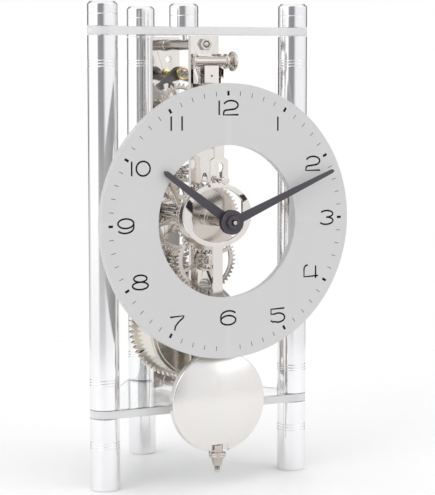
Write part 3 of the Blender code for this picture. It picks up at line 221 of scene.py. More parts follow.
def rubbed_surface():
    """The shared node group: mottling, grain in one direction, fine scratches and rubbed edges."""
    group = bpy.data.node_groups.new("rubbed_surface", "ShaderNodeTree")
    for label, kind, start in (
            ("Colour", "NodeSocketColor", (0.8, 0.8, 0.8, 1.0)), ("Rubbed", "NodeSocketColor", (0.9, 0.9, 0.9, 1.0)),
            ("Grain", "NodeSocketVector", (900.0, 900.0, 900.0)), ("Mottle", "NodeSocketFloat", 60.0),
            ("Depth", "NodeSocketFloat", 0.06), ("Roughness", "NodeSocketFloat", 0.3),
            ("Spread", "NodeSocketFloat", 0.1), ("Wear", "NodeSocketFloat", 0.5)):
        socket = group.interface.new_socket(name=label, in_out="INPUT", socket_type=kind)
        socket.default_value = start
    for label, kind in (("Colour", "NodeSocketColor"), ("Roughness", "NodeSocketFloat"),
                        ("Height", "NodeSocketFloat")):
        group.interface.new_socket(name=label, in_out="OUTPUT", socket_type=kind)
    nodes, links = group.nodes, group.links
    given, given_out = nodes.new("NodeGroupInput"), nodes.new("NodeGroupOutput")
    place = nodes.new("ShaderNodeTexCoord")
    stretch = nodes.new("ShaderNodeVectorMath")
    stretch.operation = "MULTIPLY"
    links.new(place.outputs["Object"], stretch.inputs[0])
    links.new(given.outputs["Grain"], stretch.inputs[1])
    grain = nodes.new("ShaderNodeTexNoise")
    grain.inputs["Scale"].default_value = 1.0
    grain.inputs["Detail"].default_value = 3.0
    links.new(stretch.outputs["Vector"], grain.inputs["Vector"])
    cloud = nodes.new("ShaderNodeTexNoise")
    cloud.inputs["Detail"].default_value = 4.0
    links.new(place.outputs["Object"], cloud.inputs["Vector"])
    links.new(given.outputs["Mottle"], cloud.inputs["Scale"])
    tilt = nodes.new("ShaderNodeMapping")
    tilt.inputs["Rotation"].default_value = (0.6, 0.9, 0.4)
    tilt.inputs["Scale"].default_value = (60.0, 2400.0, 2400.0)
    links.new(place.outputs["Object"], tilt.inputs["Vector"])
    lines = nodes.new("ShaderNodeTexNoise")
    lines.inputs["Scale"].default_value = 1.0
    links.new(tilt.outputs["Vector"], lines.inputs["Vector"])
    scratch = nodes.new("ShaderNodeMapRange")
    scratch.inputs["From Min"].default_value = 0.66
    scratch.inputs["From Max"].default_value = 0.72
    links.new(lines.outputs["Fac"], scratch.inputs["Value"])

    def sum_of(first, second, operation="ADD", clamp=False):
        node = nodes.new("ShaderNodeMath")
        node.operation = operation
        node.use_clamp = clamp
        for slot_number, value in enumerate((first, second)):
            if isinstance(value, float):
                node.inputs[slot_number].default_value = value
            else:
                links.new(value, node.inputs[slot_number])
        return node.outputs["Value"]

    shape = nodes.new("ShaderNodeNewGeometry")
    edge = nodes.new("ShaderNodeMapRange")
    edge.inputs["From Min"].default_value = 0.505
    edge.inputs["From Max"].default_value = 0.56
    links.new(shape.outputs["Pointiness"], edge.inputs["Value"])
    rubbed = sum_of(edge.outputs["Result"], given.outputs["Wear"], "MULTIPLY")
    rubbed = sum_of(rubbed, sum_of(cloud.outputs["Fac"], 0.35), "MULTIPLY", clamp=True)
    tone = nodes.new("ShaderNodeHueSaturation")
    links.new(given.outputs["Colour"], tone.inputs["Color"])
    uneven = sum_of(sum_of(cloud.outputs["Fac"], 0.5, "SUBTRACT"), sum_of(grain.outputs["Fac"], 0.5, "SUBTRACT"))
    links.new(sum_of(sum_of(uneven, given.outputs["Depth"], "MULTIPLY"), 1.0), tone.inputs["Value"])
    blend = nodes.new("ShaderNodeMix")
    blend.data_type = "RGBA"
    links.new(rubbed, blend.inputs["Factor"])
    links.new(tone.outputs["Color"], blend.inputs["A"])
    links.new(given.outputs["Rubbed"], blend.inputs["B"])
    links.new(blend.outputs["Result"], given_out.inputs["Colour"])
    dull = sum_of(uneven, given.outputs["Spread"], "MULTIPLY")
    dull = sum_of(dull, sum_of(scratch.outputs["Result"], 0.06, "MULTIPLY"))
    links.new(sum_of(sum_of(dull, given.outputs["Roughness"]), 0.0, "MAXIMUM"), given_out.inputs["Roughness"])
    links.new(sum_of(grain.outputs["Fac"], sum_of(scratch.outputs["Result"], 0.5, "MULTIPLY"), "SUBTRACT"),
              given_out.inputs["Height"])
    return group


RUBBED = rubbed_surface()


def finish_of(name, colour, rubbed, grain, mottle, depth, roughness, spread, wear, metallic, bump):
    """A surface that uses the shared group with its own colours and scales."""
    made = bpy.data.materials.new(name)
    made.use_nodes = True
    nodes, links = made.node_tree.nodes, made.node_tree.links
    shader = nodes["Principled BSDF"]
    shader.inputs["Metallic"].default_value = metallic
    group = nodes.new("ShaderNodeGroup")
    group.node_tree = RUBBED
    for label, value in (("Colour", (*colour, 1.0)), ("Rubbed", (*rubbed, 1.0)), ("Grain", grain),
                         ("Mottle", mottle), ("Depth", depth), ("Roughness", roughness), ("Spread", spread),
                         ("Wear", wear)):
        group.inputs[label].default_value = value
    relief = nodes.new("ShaderNodeBump")
    relief.inputs["Strength"].default_value = bump
    relief.inputs["Distance"].default_value = 0.00002
    links.new(group.outputs["Colour"], shader.inputs["Base Color"])
    links.new(group.outputs["Roughness"], shader.inputs["Roughness"])
    links.new(group.outputs["Height"], relief.inputs["Height"])
    links.new(relief.outputs["Normal"], shader.inputs["Normal"])
    return made, shader


clear_acrylic, clear_shader = finish_of(
    "clear_acrylic", (0.93, 0.95, 0.95), (0.97, 0.97, 0.97), (120.0, 120.0, 120.0), 40.0, 0.03, 0.03, 0.03, 0.4,
    0.0, 0.15)
clear_shader.inputs["Transmission Weight"].default_value = 0.95
clear_shader.inputs["IOR"].default_value = 1.49
sawn_edge, sawn_shader = finish_of(
    "sawn_edge", (0.93, 0.93, 0.93), (0.97, 0.97, 0.97), (300.0, 300.0, 2200.0), 90.0, 0.08, 0.38, 0.1, 0.3,
    0.0, 0.3)
sawn_shader.inputs["Transmission Weight"].default_value = 0.3
sawn_shader.inputs["IOR"].default_value = 1.49


def plate_outline(bm):
    """Three corners rounded about the pillars, joined by straight edges."""
    centres = [CORNERS[c].xy for c in ("left", "right", "rear")]
    ends = []
    for i, here in enumerate(centres):
        before, after = here - centres[i - 1], centres[(i + 1) % 3] - here
        start_turn = math.atan2(before.y, before.x) - math.pi / 2
        turn = (math.atan2(after.y, after.x) - math.pi / 2 - start_turn) % (2 * math.pi)
        start = bm.verts.new((here.x + PILLAR_R * math.cos(start_turn), here.y + PILLAR_R * math.sin(start_turn), 0))
        ends.append((start, sweep(bm, start, here, turn, 24)))
    for i, (start, _) in enumerate(ends):
        bm.edges.new((ends[i - 1][1], start))


for plate_name in ("base_plate", "top_plate"):
    low, high = box_mm(plate_name)
    plate = bmesh.new()
    plate_outline(plate)
    for corner in CORNERS.values():
        drill(plate, 2.8, corner, 24)
    if plate_name == "top_plate":
        drill(plate, 1.8, (0.0, MOVEMENT_Y), 24)
    thicken(plate, low.z, high.z)
    bmesh.ops.recalc_face_normals(plate, faces=plate.faces)
    for face in plate.faces:
        face.material_index = 1 if abs(face.normal.z) < 0.5 else 0
    cut_plate = piece_of(plate_name.replace("_", "_clear_"), plate, clear_acrylic, 0.3, 2)
    cut_plate.data.materials.append(sawn_edge)
    fit(cut_plate, "frame", "clear_acrylic", plate_name)

# ================================================================ pillars
# Each pillar is three lengths of satin-anodised aluminium bar: a leg, a tube between the
# plates and a flat-topped finial, turned with fine grooves and screwed together.
satin_aluminium, _ = finish_of(
    "satin_aluminium", (0.86, 0.86, 0.87), (0.95, 0.95, 0.96), (60.0, 60.0, 5200.0), 35.0, 0.04, 0.13, 0.04, 0.5,
    1.0, 0.10)
GROOVE_W, GROOVE_DEPTH, GROOVE_PITCH = 0.28, 0.22, 1.45


def lathe(bm, outline, steps=72):
    """Spins a half outline of (radius, height) about Z, closed on itself."""
    points = [bm.verts.new((radius, 0.0, height)) for radius, height in outline]
    loop = points + points[:1]
    edges = [bm.edges.new(pair) for pair in zip(loop, loop[1:]) if pair[0].co.x > 0 or pair[1].co.x > 0]
    bmesh.ops.spin(bm, geom=points + edges, cent=(0, 0, 0), axis=(0, 0, 1), dvec=(0, 0, 0), angle=2 * math.pi,
                   steps=steps, use_merge=True, use_duplicate=False)
    bmesh.ops.remove_doubles(bm, verts=bm.verts, dist=0.0005)


def grooves(middle, count, radius, upwards=True):
    """The outline of fine V grooves about a height, read from below to above."""
    outline = []
    for i in range(count):
        at = middle + (i - (count - 1) / 2) * GROOVE_PITCH
        outline += [(radius, at - GROOVE_W / 2), (radius - GROOVE_DEPTH, at), (radius, at + GROOVE_W / 2)]
    return outline if upwards else outline[::-1]


for pillar, place in CORNERS.items():
    low, high = box_mm(pillar + "_leg")
    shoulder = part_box("base_plate")[0].z * 1000 - 0.3
    leg = bmesh.new()
    lathe(leg, [(0, 0), (PILLAR_R - 0.5, 0), (PILLAR_R, 0.5)] + grooves(shoulder - 13.3, 3, PILLAR_R)
          + [(PILLAR_R, shoulder), (2.5, shoulder), (2.5, high.z), (0, high.z)])
    bmesh.ops.translate(leg, vec=(place.x, place.y, 0), verts=leg.verts)
    fit(piece_of(pillar + "_turned_leg", leg, satin_aluminium, 0.08, 1), "frame", "satin_aluminium",
        pillar + "_leg")

    low, high = box_mm(pillar + "_tube")
    tube = bmesh.new()
    lathe(tube, [(2.8, low.z), (PILLAR_R, low.z)] + grooves(low.z + 13.5, 3, PILLAR_R)
          + grooves(high.z - 13.5, 3, PILLAR_R) + [(PILLAR_R, high.z), (2.8, high.z)])
    bmesh.ops.translate(tube, vec=(place.x, place.y, 0), verts=tube.verts)
    fit(piece_of(pillar + "_turned_tube", tube, satin_aluminium, 0.08, 1), "frame", "satin_aluminium",
        pillar + "_tube")


def finial(node, place, spigot_r):
    """A chamfered cap with one groove, and a spigot down through the top plate."""
    low, high = box_mm(node)
    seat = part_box("top_plate")[1].z * 1000 + 0.3
    cap = bmesh.new()
    lathe(cap, [(0, low.z), (spigot_r, low.z), (spigot_r, seat), (PILLAR_R, seat)]
          + grooves(seat + 5.8, 1, PILLAR_R)
          + [(PILLAR_R, high.z - 1.3), (PILLAR_R - 1.3, high.z), (0, high.z)])
    bmesh.ops.translate(cap, vec=(place[0], place[1], 0), verts=cap.verts)
    fit(piece_of(node.replace("_", "_turned_"), cap, satin_aluminium, 0.08, 1), "frame", "satin_aluminium", node)


for pillar, place in CORNERS.items():
    finial(pillar + "_finial", place, 2.5)
finial("movement_finial", (0.0, MOVEMENT_Y), 1.5)

# ================================================================ dial
# An open ring of frosted acrylic on two aluminium studs. Its figures, hour bars and minute
# ticks are printed in black on the face.
frosted_acrylic, frosted_shader = finish_of(
    "frosted_acrylic", (0.70, 0.70, 0.70), (0.80, 0.80, 0.80), (1500.0, 1500.0, 1500.0), 14.0, 0.03, 0.42, 0.08,
    0.3, 0.0, 0.25)
frosted_shader.inputs["Transmission Weight"].default_value = 0.16
frosted_shader.inputs["IOR"].default_value = 1.49
black_ink, ink_shader = finish_of(
    "black_ink", (0.008, 0.008, 0.009), (0.03, 0.03, 0.03), (2500.0, 2500.0, 2500.0), 200.0, 0.25, 0.75, 0.2,
    0.1, 0.0, 0.3)
ink_shader.inputs["Specular IOR Level"].default_value = 0.15
dial_low, dial_high = box_mm("dial")
DIAL_Z = (dial_low.z + dial_high.z) / 2
DIAL_R = (dial_high.x - dial_low.x) / 2
DIAL_HOLE_R = 37.3
FIGURE_R = [54.5, 54.5, 55.0, 53.5, 55.0, 47.2, 55.5, 54.4, 54.5, 54.0, 55.5, 55.3]    # from one to twelve
BAR_R = 62.3
FIGURE_W, FIGURE_H, STROKE_W = 8.2, 6.9, 0.86


def stand(bm, across=0.0, up=0.0):
    """Turns a drawing to face the front, with its height now along -Y, and moves its centre."""
    bmesh.ops.rotate(bm, cent=(0, 0, 0), matrix=Matrix.Rotation(math.pi / 2, 3, "X"), verts=bm.verts)
    bmesh.ops.translate(bm, vec=(across, 0.0, up), verts=bm.verts)


for side in ("left", "right"):
    low, high = box_mm(side + "_dial_stud")
    stud = bmesh.new()
    shoulder = -(CORNERS[side].y - PILLAR_R - 0.3)
    lathe(stud, [(0, -high.y), (1.5, -high.y), (1.5, shoulder), (3.0, shoulder), (3.0, -low.y), (0, -low.y)], 40)
    stand(stud, CORNERS[side].x, DIAL_Z)
    fit(piece_of(side + "_turned_stud", stud, satin_aluminium, 0.2), "frame", "satin_aluminium",
        side + "_dial_stud")

dial = bmesh.new()
drill(dial, DIAL_R, (0, 0), 160)
drill(dial, DIAL_HOLE_R, (0, 0), 120)
thicken(dial, -dial_high.y, -dial_low.y)
stand(dial, 0.0, DIAL_Z)
fit(piece_of("frosted_dial", dial, frosted_acrylic, 0.3, 3), "frame", "frosted_acrylic", "dial")


def bow(centre_x, centre_y, radius_x, radius_y, start, end, count=14):
    """Points on part of an ellipse, in shares of a figure's width and height."""
    turns = [math.radians(start + (end - start) * i / count) for i in range(count + 1)]
    return [(centre_x + radius_x * math.cos(a), centre_y + radius_y * math.sin(a)) for a in turns]


# the strokes of each figure, in a box one wide and one high about its centre
LOWER_BOWL = bow(0.0, -0.17, 0.5, 0.33, 180, -180, 28)
STROKES = {
    "0": [bow(0.0, 0.0, 0.44, 0.5, 90, 450, 32)],
    "1": [[(0.0, -0.5), (0.0, 0.5)]],
    "2": [bow(0.0, 0.18, 0.47, 0.32, 165, -60) + bow(-0.28, -0.33, 0.2, 0.17, 80, 190, 6)
          + [(-0.5, -0.5), (0.5, -0.5)]],
    "3": [bow(0.02, 0.26, 0.44, 0.24, 150, -90), bow(0.0, -0.24, 0.48, 0.26, 90, -152)],
    "4": [[(-0.22, 0.5), (-0.40, 0.42), (-0.48, 0.25), (-0.48, -0.36), (0.5, -0.32)], [(0.33, 0.42), (0.33, -0.5)]],
    "5": [[(0.46, 0.5), (-0.46, 0.46), (-0.46, 0.1)] + bow(0.04, -0.17, 0.44, 0.33, 125, -125, 18)
          + [(-0.3, -0.48), (-0.48, -0.36)]],
    "6": [bow(0.04, 0.1, 0.54, 0.4, 35, 175, 10) + [(-0.5, -0.17)], LOWER_BOWL],
    "7": [[(-0.46, 0.44), (0.44, 0.5), (0.40, 0.36), (0.1, 0.08), (-0.1, -0.2), (-0.16, -0.5)]],
    "8": [bow(0.0, 0.26, 0.42, 0.24, 90, 450, 26), bow(0.0, -0.24, 0.5, 0.26, 90, 450, 26)],
    "9": [[(-a, -b) for a, b in bow(0.04, 0.1, 0.54, 0.4, 35, 175, 10) + [(-0.5, -0.17)]],
          [(-a, -b) for a, b in LOWER_BOWL]],
}


def print_figure(number, centre_x, centre_z):
    """Lays a figure's strokes on the dial as flat raised ink."""
    curve = bpy.data.curves.new("figure", "CURVE")
    curve.dimensions = "3D"
    curve.bevel_depth = STROKE_W / 2
    curve.bevel_resolution = 1
    curve.use_fill_caps = True
    widths = [{"1": 0.12, "0": 0.9}.get(digit, 1.0) for digit in number]
    gap = 0.58 if number == "11" else 0.22
    start = -(sum(widths) + gap * (len(widths) - 1)) / 2
    for digit, width in zip(number, widths):
        middle = start + width / 2
        start += width + gap
        for stroke in STROKES[digit]:
            spline = curve.splines.new("POLY")
            spline.points.add(len(stroke) - 1)
            for point, (a, b) in zip(spline.points, stroke):
                point.co = ((middle + a) * FIGURE_W, b * FIGURE_H, 0.0, 1.0)
    drawn = bpy.data.objects.new("figure", curve)
    scene.collection.objects.link(drawn)
    bpy.context.view_layer.update()
    mesh = bpy.data.meshes.new_from_object(drawn.evaluated_get(bpy.context.evaluated_depsgraph_get()))
    bpy.data.objects.remove(drawn)
    bm = bmesh.new()
    bm.from_mesh(mesh)
    bmesh.ops.scale(bm, vec=(1.0, 1.0, 0.1), verts=bm.verts)
    bmesh.ops.translate(bm, vec=(0, 0, -dial_low.y), verts=bm.verts)
    stand(bm, centre_x, centre_z)
    fit_print(piece_of("figure_" + number, bm, black_ink, 0))


def fit_print(made):
    """Ink has no CAD piece of its own and rides with the dial."""
    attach(made, "frame")


for hour in range(1, 13):
    turn = math.radians(90 - 30 * hour)
    figure_r = FIGURE_R[hour - 1]
    print_figure(str(hour), figure_r * math.cos(turn), DIAL_Z + figure_r * math.sin(turn))

for track, count, half_w, half_l in (("hour_bars", 12, 0.6, 1.15), ("minute_ticks", 60, 0.13, 1.15)):
    marks = bmesh.new()
    for i in range(count):
        if (track, i) == ("hour_bars", 6) or (track == "minute_ticks" and i % 5 == 0):
            continue
        corner = [marks.verts.new((x, y, 0)) for x, y in (
            (-half_w, BAR_R - half_l), (half_w, BAR_R - half_l), (half_w, BAR_R + half_l), (-half_w, BAR_R + half_l))]
        marks.faces.new(corner)
        bmesh.ops.rotate(marks, cent=(0, 0, 0), matrix=Matrix.Rotation(-2 * math.pi * i / count, 3, "Z"),
                         verts=corner)
    grown = bmesh.ops.extrude_face_region(marks, geom=marks.faces[:])
    bmesh.ops.translate(marks, vec=(0, 0, 0.03), verts=[v for v in grown["geom"] if isinstance(v, bmesh.types.BMVert)])
    bmesh.ops.translate(marks, vec=(0, 0, -dial_low.y - 0.005), verts=marks.verts)
    stand(marks, 0.0, DIAL_Z)
    fit_print(piece_of(track, marks, black_ink, 0))

# ================================================================ movement plates
# Two narrow nickel-plated brass plates, 2.5 mm thick, polished and slotted. Two round
# spacers hold them apart, each drawn tight by a hex nut at both ends.
polished_nickel, _ = finish_of(
    "polished_nickel", (0.76, 0.725, 0.69), (0.90, 0.87, 0.84), (500.0, 500.0, 2600.0), 70.0, 0.10, 0.08, 0.05,
    0.6, 1.0, 0.12)
bright_steel, _ = finish_of(
    "bright_steel", (0.50, 0.465, 0.435), (0.76, 0.74, 0.71), (300.0, 5200.0, 300.0), 120.0, 0.10, 0.18, 0.08,
    0.7, 1.0, 0.12)
# A darker copy of the polished nickel. Its base colour is painted down as a painted shade for the gloom between the
# movement plates. The wheels, spacers, hour and minute wheels, beat screw and rating nut all use it.
shade_darkened_nickel, _ = finish_of(
    "shade_darkened_nickel", (0.54, 0.49, 0.45), (0.84, 0.80, 0.75), (3200.0, 500.0, 3200.0), 90.0, 0.14, 0.17, 0.07,
    0.6, 1.0, 0.14)
AXIS = {joint["child"]: 1000 * Vector(joint["pos_m"]) for joint in frame["joints"] if "pos_m" in joint}
PLATE_W = 15.6
BEARING_R, COUNTERSINK_R = 0.95, 1.9


def slot(bm, width, low, high):
    """The edge of an upright slot with round ends."""
    half = width / 2
    first = bm.verts.new((half, high - half, 0))
    top = sweep(bm, first, (0, high - half), math.pi, 12)
    foot = bm.verts.new((-half, low + half, 0))
    bottom = sweep(bm, foot, (0, low + half), math.pi, 12)
    bm.edges.new((top, foot))
    bm.edges.new((bottom, first))


TRAIN_Z = {body: AXIS[body].z for body in ("barrel", "second", "centre", "third", "fourth", "escape", "pallets")}
MINUTE_Z = AXIS["minute_wheel"].z
spacer_z = [sum(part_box(n), Vector()).z * 500 for n in ("lower_spacer", "upper_spacer")]
for plate_name in ("front_plate", "back_plate"):
    low, high = box_mm(plate_name)
    plate = bmesh.new()
    corners = [plate.verts.new((x, y, 0)) for x, y in (
        (-PLATE_W / 2, low.z), (PLATE_W / 2, low.z), (PLATE_W / 2, high.z), (-PLATE_W / 2, high.z))]
    for i, corner in enumerate(corners):
        plate.edges.new((corners[i - 1], corner))
    for z in spacer_z:
        drill(plate, 1.6, (0, z))
    for body in ("second", "third", "fourth", "escape"):
        drill(plate, BEARING_R, (0, TRAIN_Z[body]))
    drill(plate, 2.95, (0, TRAIN_Z["barrel"]))
    slot(plate, 6.0, spacer_z[0] + 6, TRAIN_Z["barrel"] - 7)
    slot(plate, 6.0, TRAIN_Z["barrel"] + 8, TRAIN_Z["second"] - 5)
    if plate_name == "front_plate":
        drill(plate, 1.35, (0, TRAIN_Z["centre"]))
        drill(plate, 1.35, (0, TRAIN_Z["pallets"]))
        drill(plate, 1.3, (0, MINUTE_Z))
        slot(plate, 6.0, TRAIN_Z["centre"] + 5, TRAIN_Z["third"] - 3.5)
    else:
        drill(plate, BEARING_R, (0, TRAIN_Z["centre"]))
        drill(plate, BEARING_R, (0, TRAIN_Z["pallets"]))
        drill(plate, 1.4, (AXIS["click"].x, AXIS["click"].z))
        drill(plate, 1.7, (1.5, TRAIN_Z["pallets"] + 7.1))
    thicken(plate, -high.y, -low.y)
    stand(plate)
    fit(piece_of(plate_name.replace("_", "_nickel_"), plate, polished_nickel, 0.22), "frame", "polished_nickel",
        plate_name)

for end in ("upper", "lower"):
    low, high = box_mm(end + "_spacer")
    z = (low.z + high.z) / 2
    inner_front, inner_back = (1000 * v for v in (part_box("front_plate")[1].y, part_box("back_plate")[0].y))
    spacer = bmesh.new()
    lathe(spacer, [(0, -high.y), (0.9, -high.y), (1.3, -high.y + 0.4), (1.3, 0.3 - inner_back), (3.0, 0.3 - inner_back),
                   (3.0, 2.2 - inner_back), (2.7, 2.4 - inner_back), (2.7, -2.4 - inner_front),
                   (3.0, -2.2 - inner_front), (3.0, -0.3 - inner_front), (1.3, -0.3 - inner_front),
                   (1.3, -low.y - 0.4), (0.9, -low.y), (0, -low.y)], 40)
    stand(spacer, 0.0, z)
    # the spacers take the nickel whose colour is painted darker, a painted shade between the plates
    fit(piece_of(end + "_turned_spacer", spacer, shade_darkened_nickel, 0.12), "frame", "bright_steel", end + "_spacer")
    for face in ("front", "rear"):
        low, high = box_mm(end + "_" + face + "_nut")
        nut = bmesh.new()
        drill(nut, 3.2, (0, 0), 6)
        drill(nut, 1.6, (0, 0), 24)
        thicken(nut, -high.y, -low.y)
        bmesh.ops.rotate(nut, cent=(0, 0, 0), matrix=Matrix.Rotation(math.pi / 6, 3, "Z"), verts=nut.verts)
        stand(nut, 0.0, z)
        fit(piece_of(end + "_" + face + "_hex_nut", nut, bright_steel, 0.3), "frame", "bright_steel",
            end + "_" + face + "_nut")

# ================================================================ barrel, ratchet and click
# The mainspring is in a drum with a toothed flange and a snapped-in cap. Behind the back
# plate a ratchet on the arbor's square, with its click and spring, holds the wound spring.
satin_nickel, _ = finish_of(
    "satin_nickel", (0.70, 0.66, 0.60), (0.85, 0.81, 0.75), (420.0, 3600.0, 420.0), 60.0, 0.10, 0.24, 0.08,
    0.6, 1.0, 0.14)
GREAT_TEETH, SECOND_PINION, SECOND_TEETH, CENTRE_PINION = 60, 10, 54, 9


def toothed(bm, teeth, module, tooth_at):
    """The edge of a wheel or pinion: one rounded tooth, copied round the axis."""
    pitch = 2 * math.pi / teeth
    pitch_r = module * teeth / 2
    tip_r, root_r = pitch_r + 0.8 * module, pitch_r - 1.1 * module
    flank = [(root_r, -0.5), (root_r, -0.285), (pitch_r - 0.2 * module, -0.235), (pitch_r + 0.35 * module, -0.165),
             (tip_r, -0.075)]
    tooth = [bm.verts.new((r * math.cos(tooth_at + s * pitch), r * math.sin(tooth_at + s * pitch), 0))
             for r, s in flank + [(r, -s) for r, s in reversed(flank)]]
    edges = [bm.edges.new(pair) for pair in zip(tooth, tooth[1:])]
    bmesh.ops.spin(bm, geom=tooth + edges, cent=(0, 0, 0), axis=(0, 0, 1), dvec=(0, 0, 0),
                   angle=2 * math.pi - pitch, steps=teeth - 1, use_merge=False, use_duplicate=True)
    bmesh.ops.remove_doubles(bm, verts=bm.verts, dist=0.002)


def grown_between(name_low, name_high):
    """The distance between two neighbouring wheels' axes, from which the module that makes their pitch circles touch is
    worked out.
    """
    return AXIS[name_high].z - AXIS[name_low].z


GREAT_MODULE = 2 * grown_between("barrel", "second") / (GREAT_TEETH + SECOND_PINION)
SECOND_MODULE = 2 * grown_between("second", "centre") / (SECOND_TEETH + CENTRE_PINION)
low, high = box_mm("barrel_drum")
BARREL_R = 24.76
great_back, great_front = -high.y, -(high.y - 2.5)
BARREL_Z = TRAIN_Z["barrel"]

drum = bmesh.new()
lathe(drum, [(3.35, great_front), (BARREL_R, great_front), (BARREL_R, -low.y - 1.0), (BARREL_R - 0.2, -low.y - 0.8),
             (BARREL_R - 0.2, -low.y - 0.5), (BARREL_R, -low.y - 0.3), (BARREL_R, -low.y), (BARREL_R - 1.2, -low.y),
             (BARREL_R - 1.2, great_front + 1.0), (3.35, great_front + 1.0)], 120)
flange = bmesh.new()
toothed(flange, GREAT_TEETH, GREAT_MODULE, math.pi / 2)
drill(flange, 3.35, (0, 0), 40)
thicken(flange, great_back, great_front)
flange_mesh = bpy.data.meshes.new("flange")
flange.to_mesh(flange_mesh)
flange.free()
drum.from_mesh(flange_mesh)
stand(drum, 0.0, BARREL_Z)
fit(piece_of("barrel_toothed_drum", drum, satin_nickel, 0.08, 1), "barrel", "satin_nickel", "barrel_drum")

low, high = box_mm("barrel_cap")
cap = bmesh.new()
lathe(cap, [(3.35, -high.y), (BARREL_R, -high.y), (BARREL_R, -low.y - 0.3), (BARREL_R - 0.3, -low.y),
            (BARREL_R - 1.6, -low.y), (BARREL_R - 1.9, -low.y - 0.25), (BARREL_R - 2.2, -low.y),
            (5.6, -low.y), (5.4, -low.y - 0.25), (5.2, -low.y), (3.35, -low.y)], 120)
stand(cap, 0.0, BARREL_Z)
fit(piece_of("barrel_snapped_cap", cap, satin_nickel, 0.06, 1), "barrel", "satin_nickel", "barrel_cap")

low, high = box_mm("barrel_arbor")
back_plate_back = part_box("back_plate")[1].y * 1000
arbor = bmesh.new()
lathe(arbor, [(0, -back_plate_back - 0.3), (2.4, -back_plate_back - 0.3), (2.6, -back_plate_back), (2.6, 0.3 - inner_back),
              (3.0, 0.3 - inner_back), (3.0, -0.3 - inner_front), (2.6, -0.3 - inner_front),
              (2.6, -low.y - 0.3), (2.3, -low.y), (1.0, -low.y), (0.6, -low.y - 0.5), (0, -low.y - 0.5)], 40)
square = bmesh.ops.create_cube(arbor, size=3.5)
bmesh.ops.scale(arbor, vec=(1, 1, (high.y - back_plate_back - 0.15) / 3.5), verts=square["verts"])
bmesh.ops.translate(arbor, vec=(0, 0, -(high.y + back_plate_back + 0.15) / 2), verts=square["verts"])
stand(arbor, 0.0, BARREL_Z)
fit(piece_of("winding_squared_arbor", arbor, bright_steel, 0.25), "winding_arbor", "bright_steel", "barrel_arbor")


def hooked(bm, teeth, tip_r, depth, tooth_at, lean):
    """The edge of a wheel with pointed teeth that lean one way."""
    pitch = 2 * math.pi / teeth
    outline = [(tip_r, -0.03), (tip_r, 0.05), (tip_r - depth * 0.55, 0.05 + (lean - 0.05) * 0.42),
               (tip_r - depth, lean), (tip_r - depth * 0.9, lean + 0.12), (tip_r, 0.97)]
    tooth = [bm.verts.new((r * math.cos(tooth_at + s * pitch), r * math.sin(tooth_at + s * pitch), 0))
             for r, s in outline]
    edges = [bm.edges.new(pair) for pair in zip(tooth, tooth[1:])]
    bmesh.ops.spin(bm, geom=tooth + edges, cent=(0, 0, 0), axis=(0, 0, 1), dvec=(0, 0, 0),
                   angle=2 * math.pi - pitch, steps=teeth - 1, use_merge=False, use_duplicate=True)
    bmesh.ops.remove_doubles(bm, verts=bm.verts, dist=0.002)


low, high = box_mm("ratchet_wheel")
ratchet = bmesh.new()
hooked(ratchet, 18, 9.0, 1.3, math.pi / 2, 0.72)
drill(ratchet, 2.78, (0, 0), 4)
thicken(ratchet, -high.y, -low.y)
stand(ratchet, 0.0, BARREL_Z)
fit(piece_of("sawtooth_ratchet", ratchet, bright_steel, 0.1), "winding_arbor", "bright_steel", "ratchet_wheel")

low, high = box_mm("click_screw")
screw = bmesh.new()
head_y = high.y - 1.2
lathe(screw, [(0, -high.y), (1.6, -high.y), (2.1, -high.y + 0.4), (2.1, -head_y), (1.1, -head_y), (1.1, -low.y), (0, -low.y)], 40)
stand(screw, AXIS["click"].x, AXIS["click"].z)
fit(piece_of("click_shoulder_screw", screw, bright_steel, 0.06, 1), "frame", "bright_steel", "click_screw")
for node in ("mainspring", "click", "click_spring"):
    frame["nodes"][node].material_slots[0].material = bright_steel

# ================================================================ going train
# Polished nickel wheels with four crossings on steel arbors cut with pinions. The centre
# arbor has a long pinion and runs on through the dial to carry the hands.
CENTRE_TEETH, THIRD_PINION, THIRD_TEETH, FOURTH_PINION, FOURTH_TEETH, ESCAPE_PINION = 60, 8, 48, 10, 38, 9
UPPER_MODULE = 2 * grown_between("centre", "escape") / (
    CENTRE_TEETH + THIRD_PINION + THIRD_TEETH + FOURTH_PINION + FOURTH_TEETH + ESCAPE_PINION)
ARBOR_R, COLLET_R = 1.0, 2.6


def joined(bm, other):
    """Adds a second drawing to the first."""
    mesh = bpy.data.meshes.new("part")
    other.to_mesh(mesh)
    other.free()
    bm.from_mesh(mesh)
    bpy.data.meshes.remove(mesh)


def crossings(bm, inner_r, outer_r, count, spoke_w, turn):
    """The windows of a wheel, which leave straight spokes between its hub and its rim."""
    inner_cut, outer_cut = (math.asin(spoke_w / 2 / r) for r in (inner_r, outer_r))
    span = 2 * math.pi / count
    window = bmesh.new()
    first = window.verts.new((outer_r * math.cos(turn + outer_cut), outer_r * math.sin(turn + outer_cut), 0))
    last = sweep(window, first, (0, 0), span - 2 * outer_cut, 12)
    inside = window.verts.new((inner_r * math.cos(turn + inner_cut), inner_r * math.sin(turn + inner_cut), 0))
    inside_last = sweep(window, inside, (0, 0), span - 2 * inner_cut, 6)
    window.edges.new((first, inside))
    window.edges.new((last, inside_last))
    bmesh.ops.spin(window, geom=window.verts[:] + window.edges[:], cent=(0, 0, 0), axis=(0, 0, 1), dvec=(0, 0, 0),
                   angle=2 * math.pi - span, steps=count - 1, use_merge=False, use_duplicate=True)
    joined(bm, window)


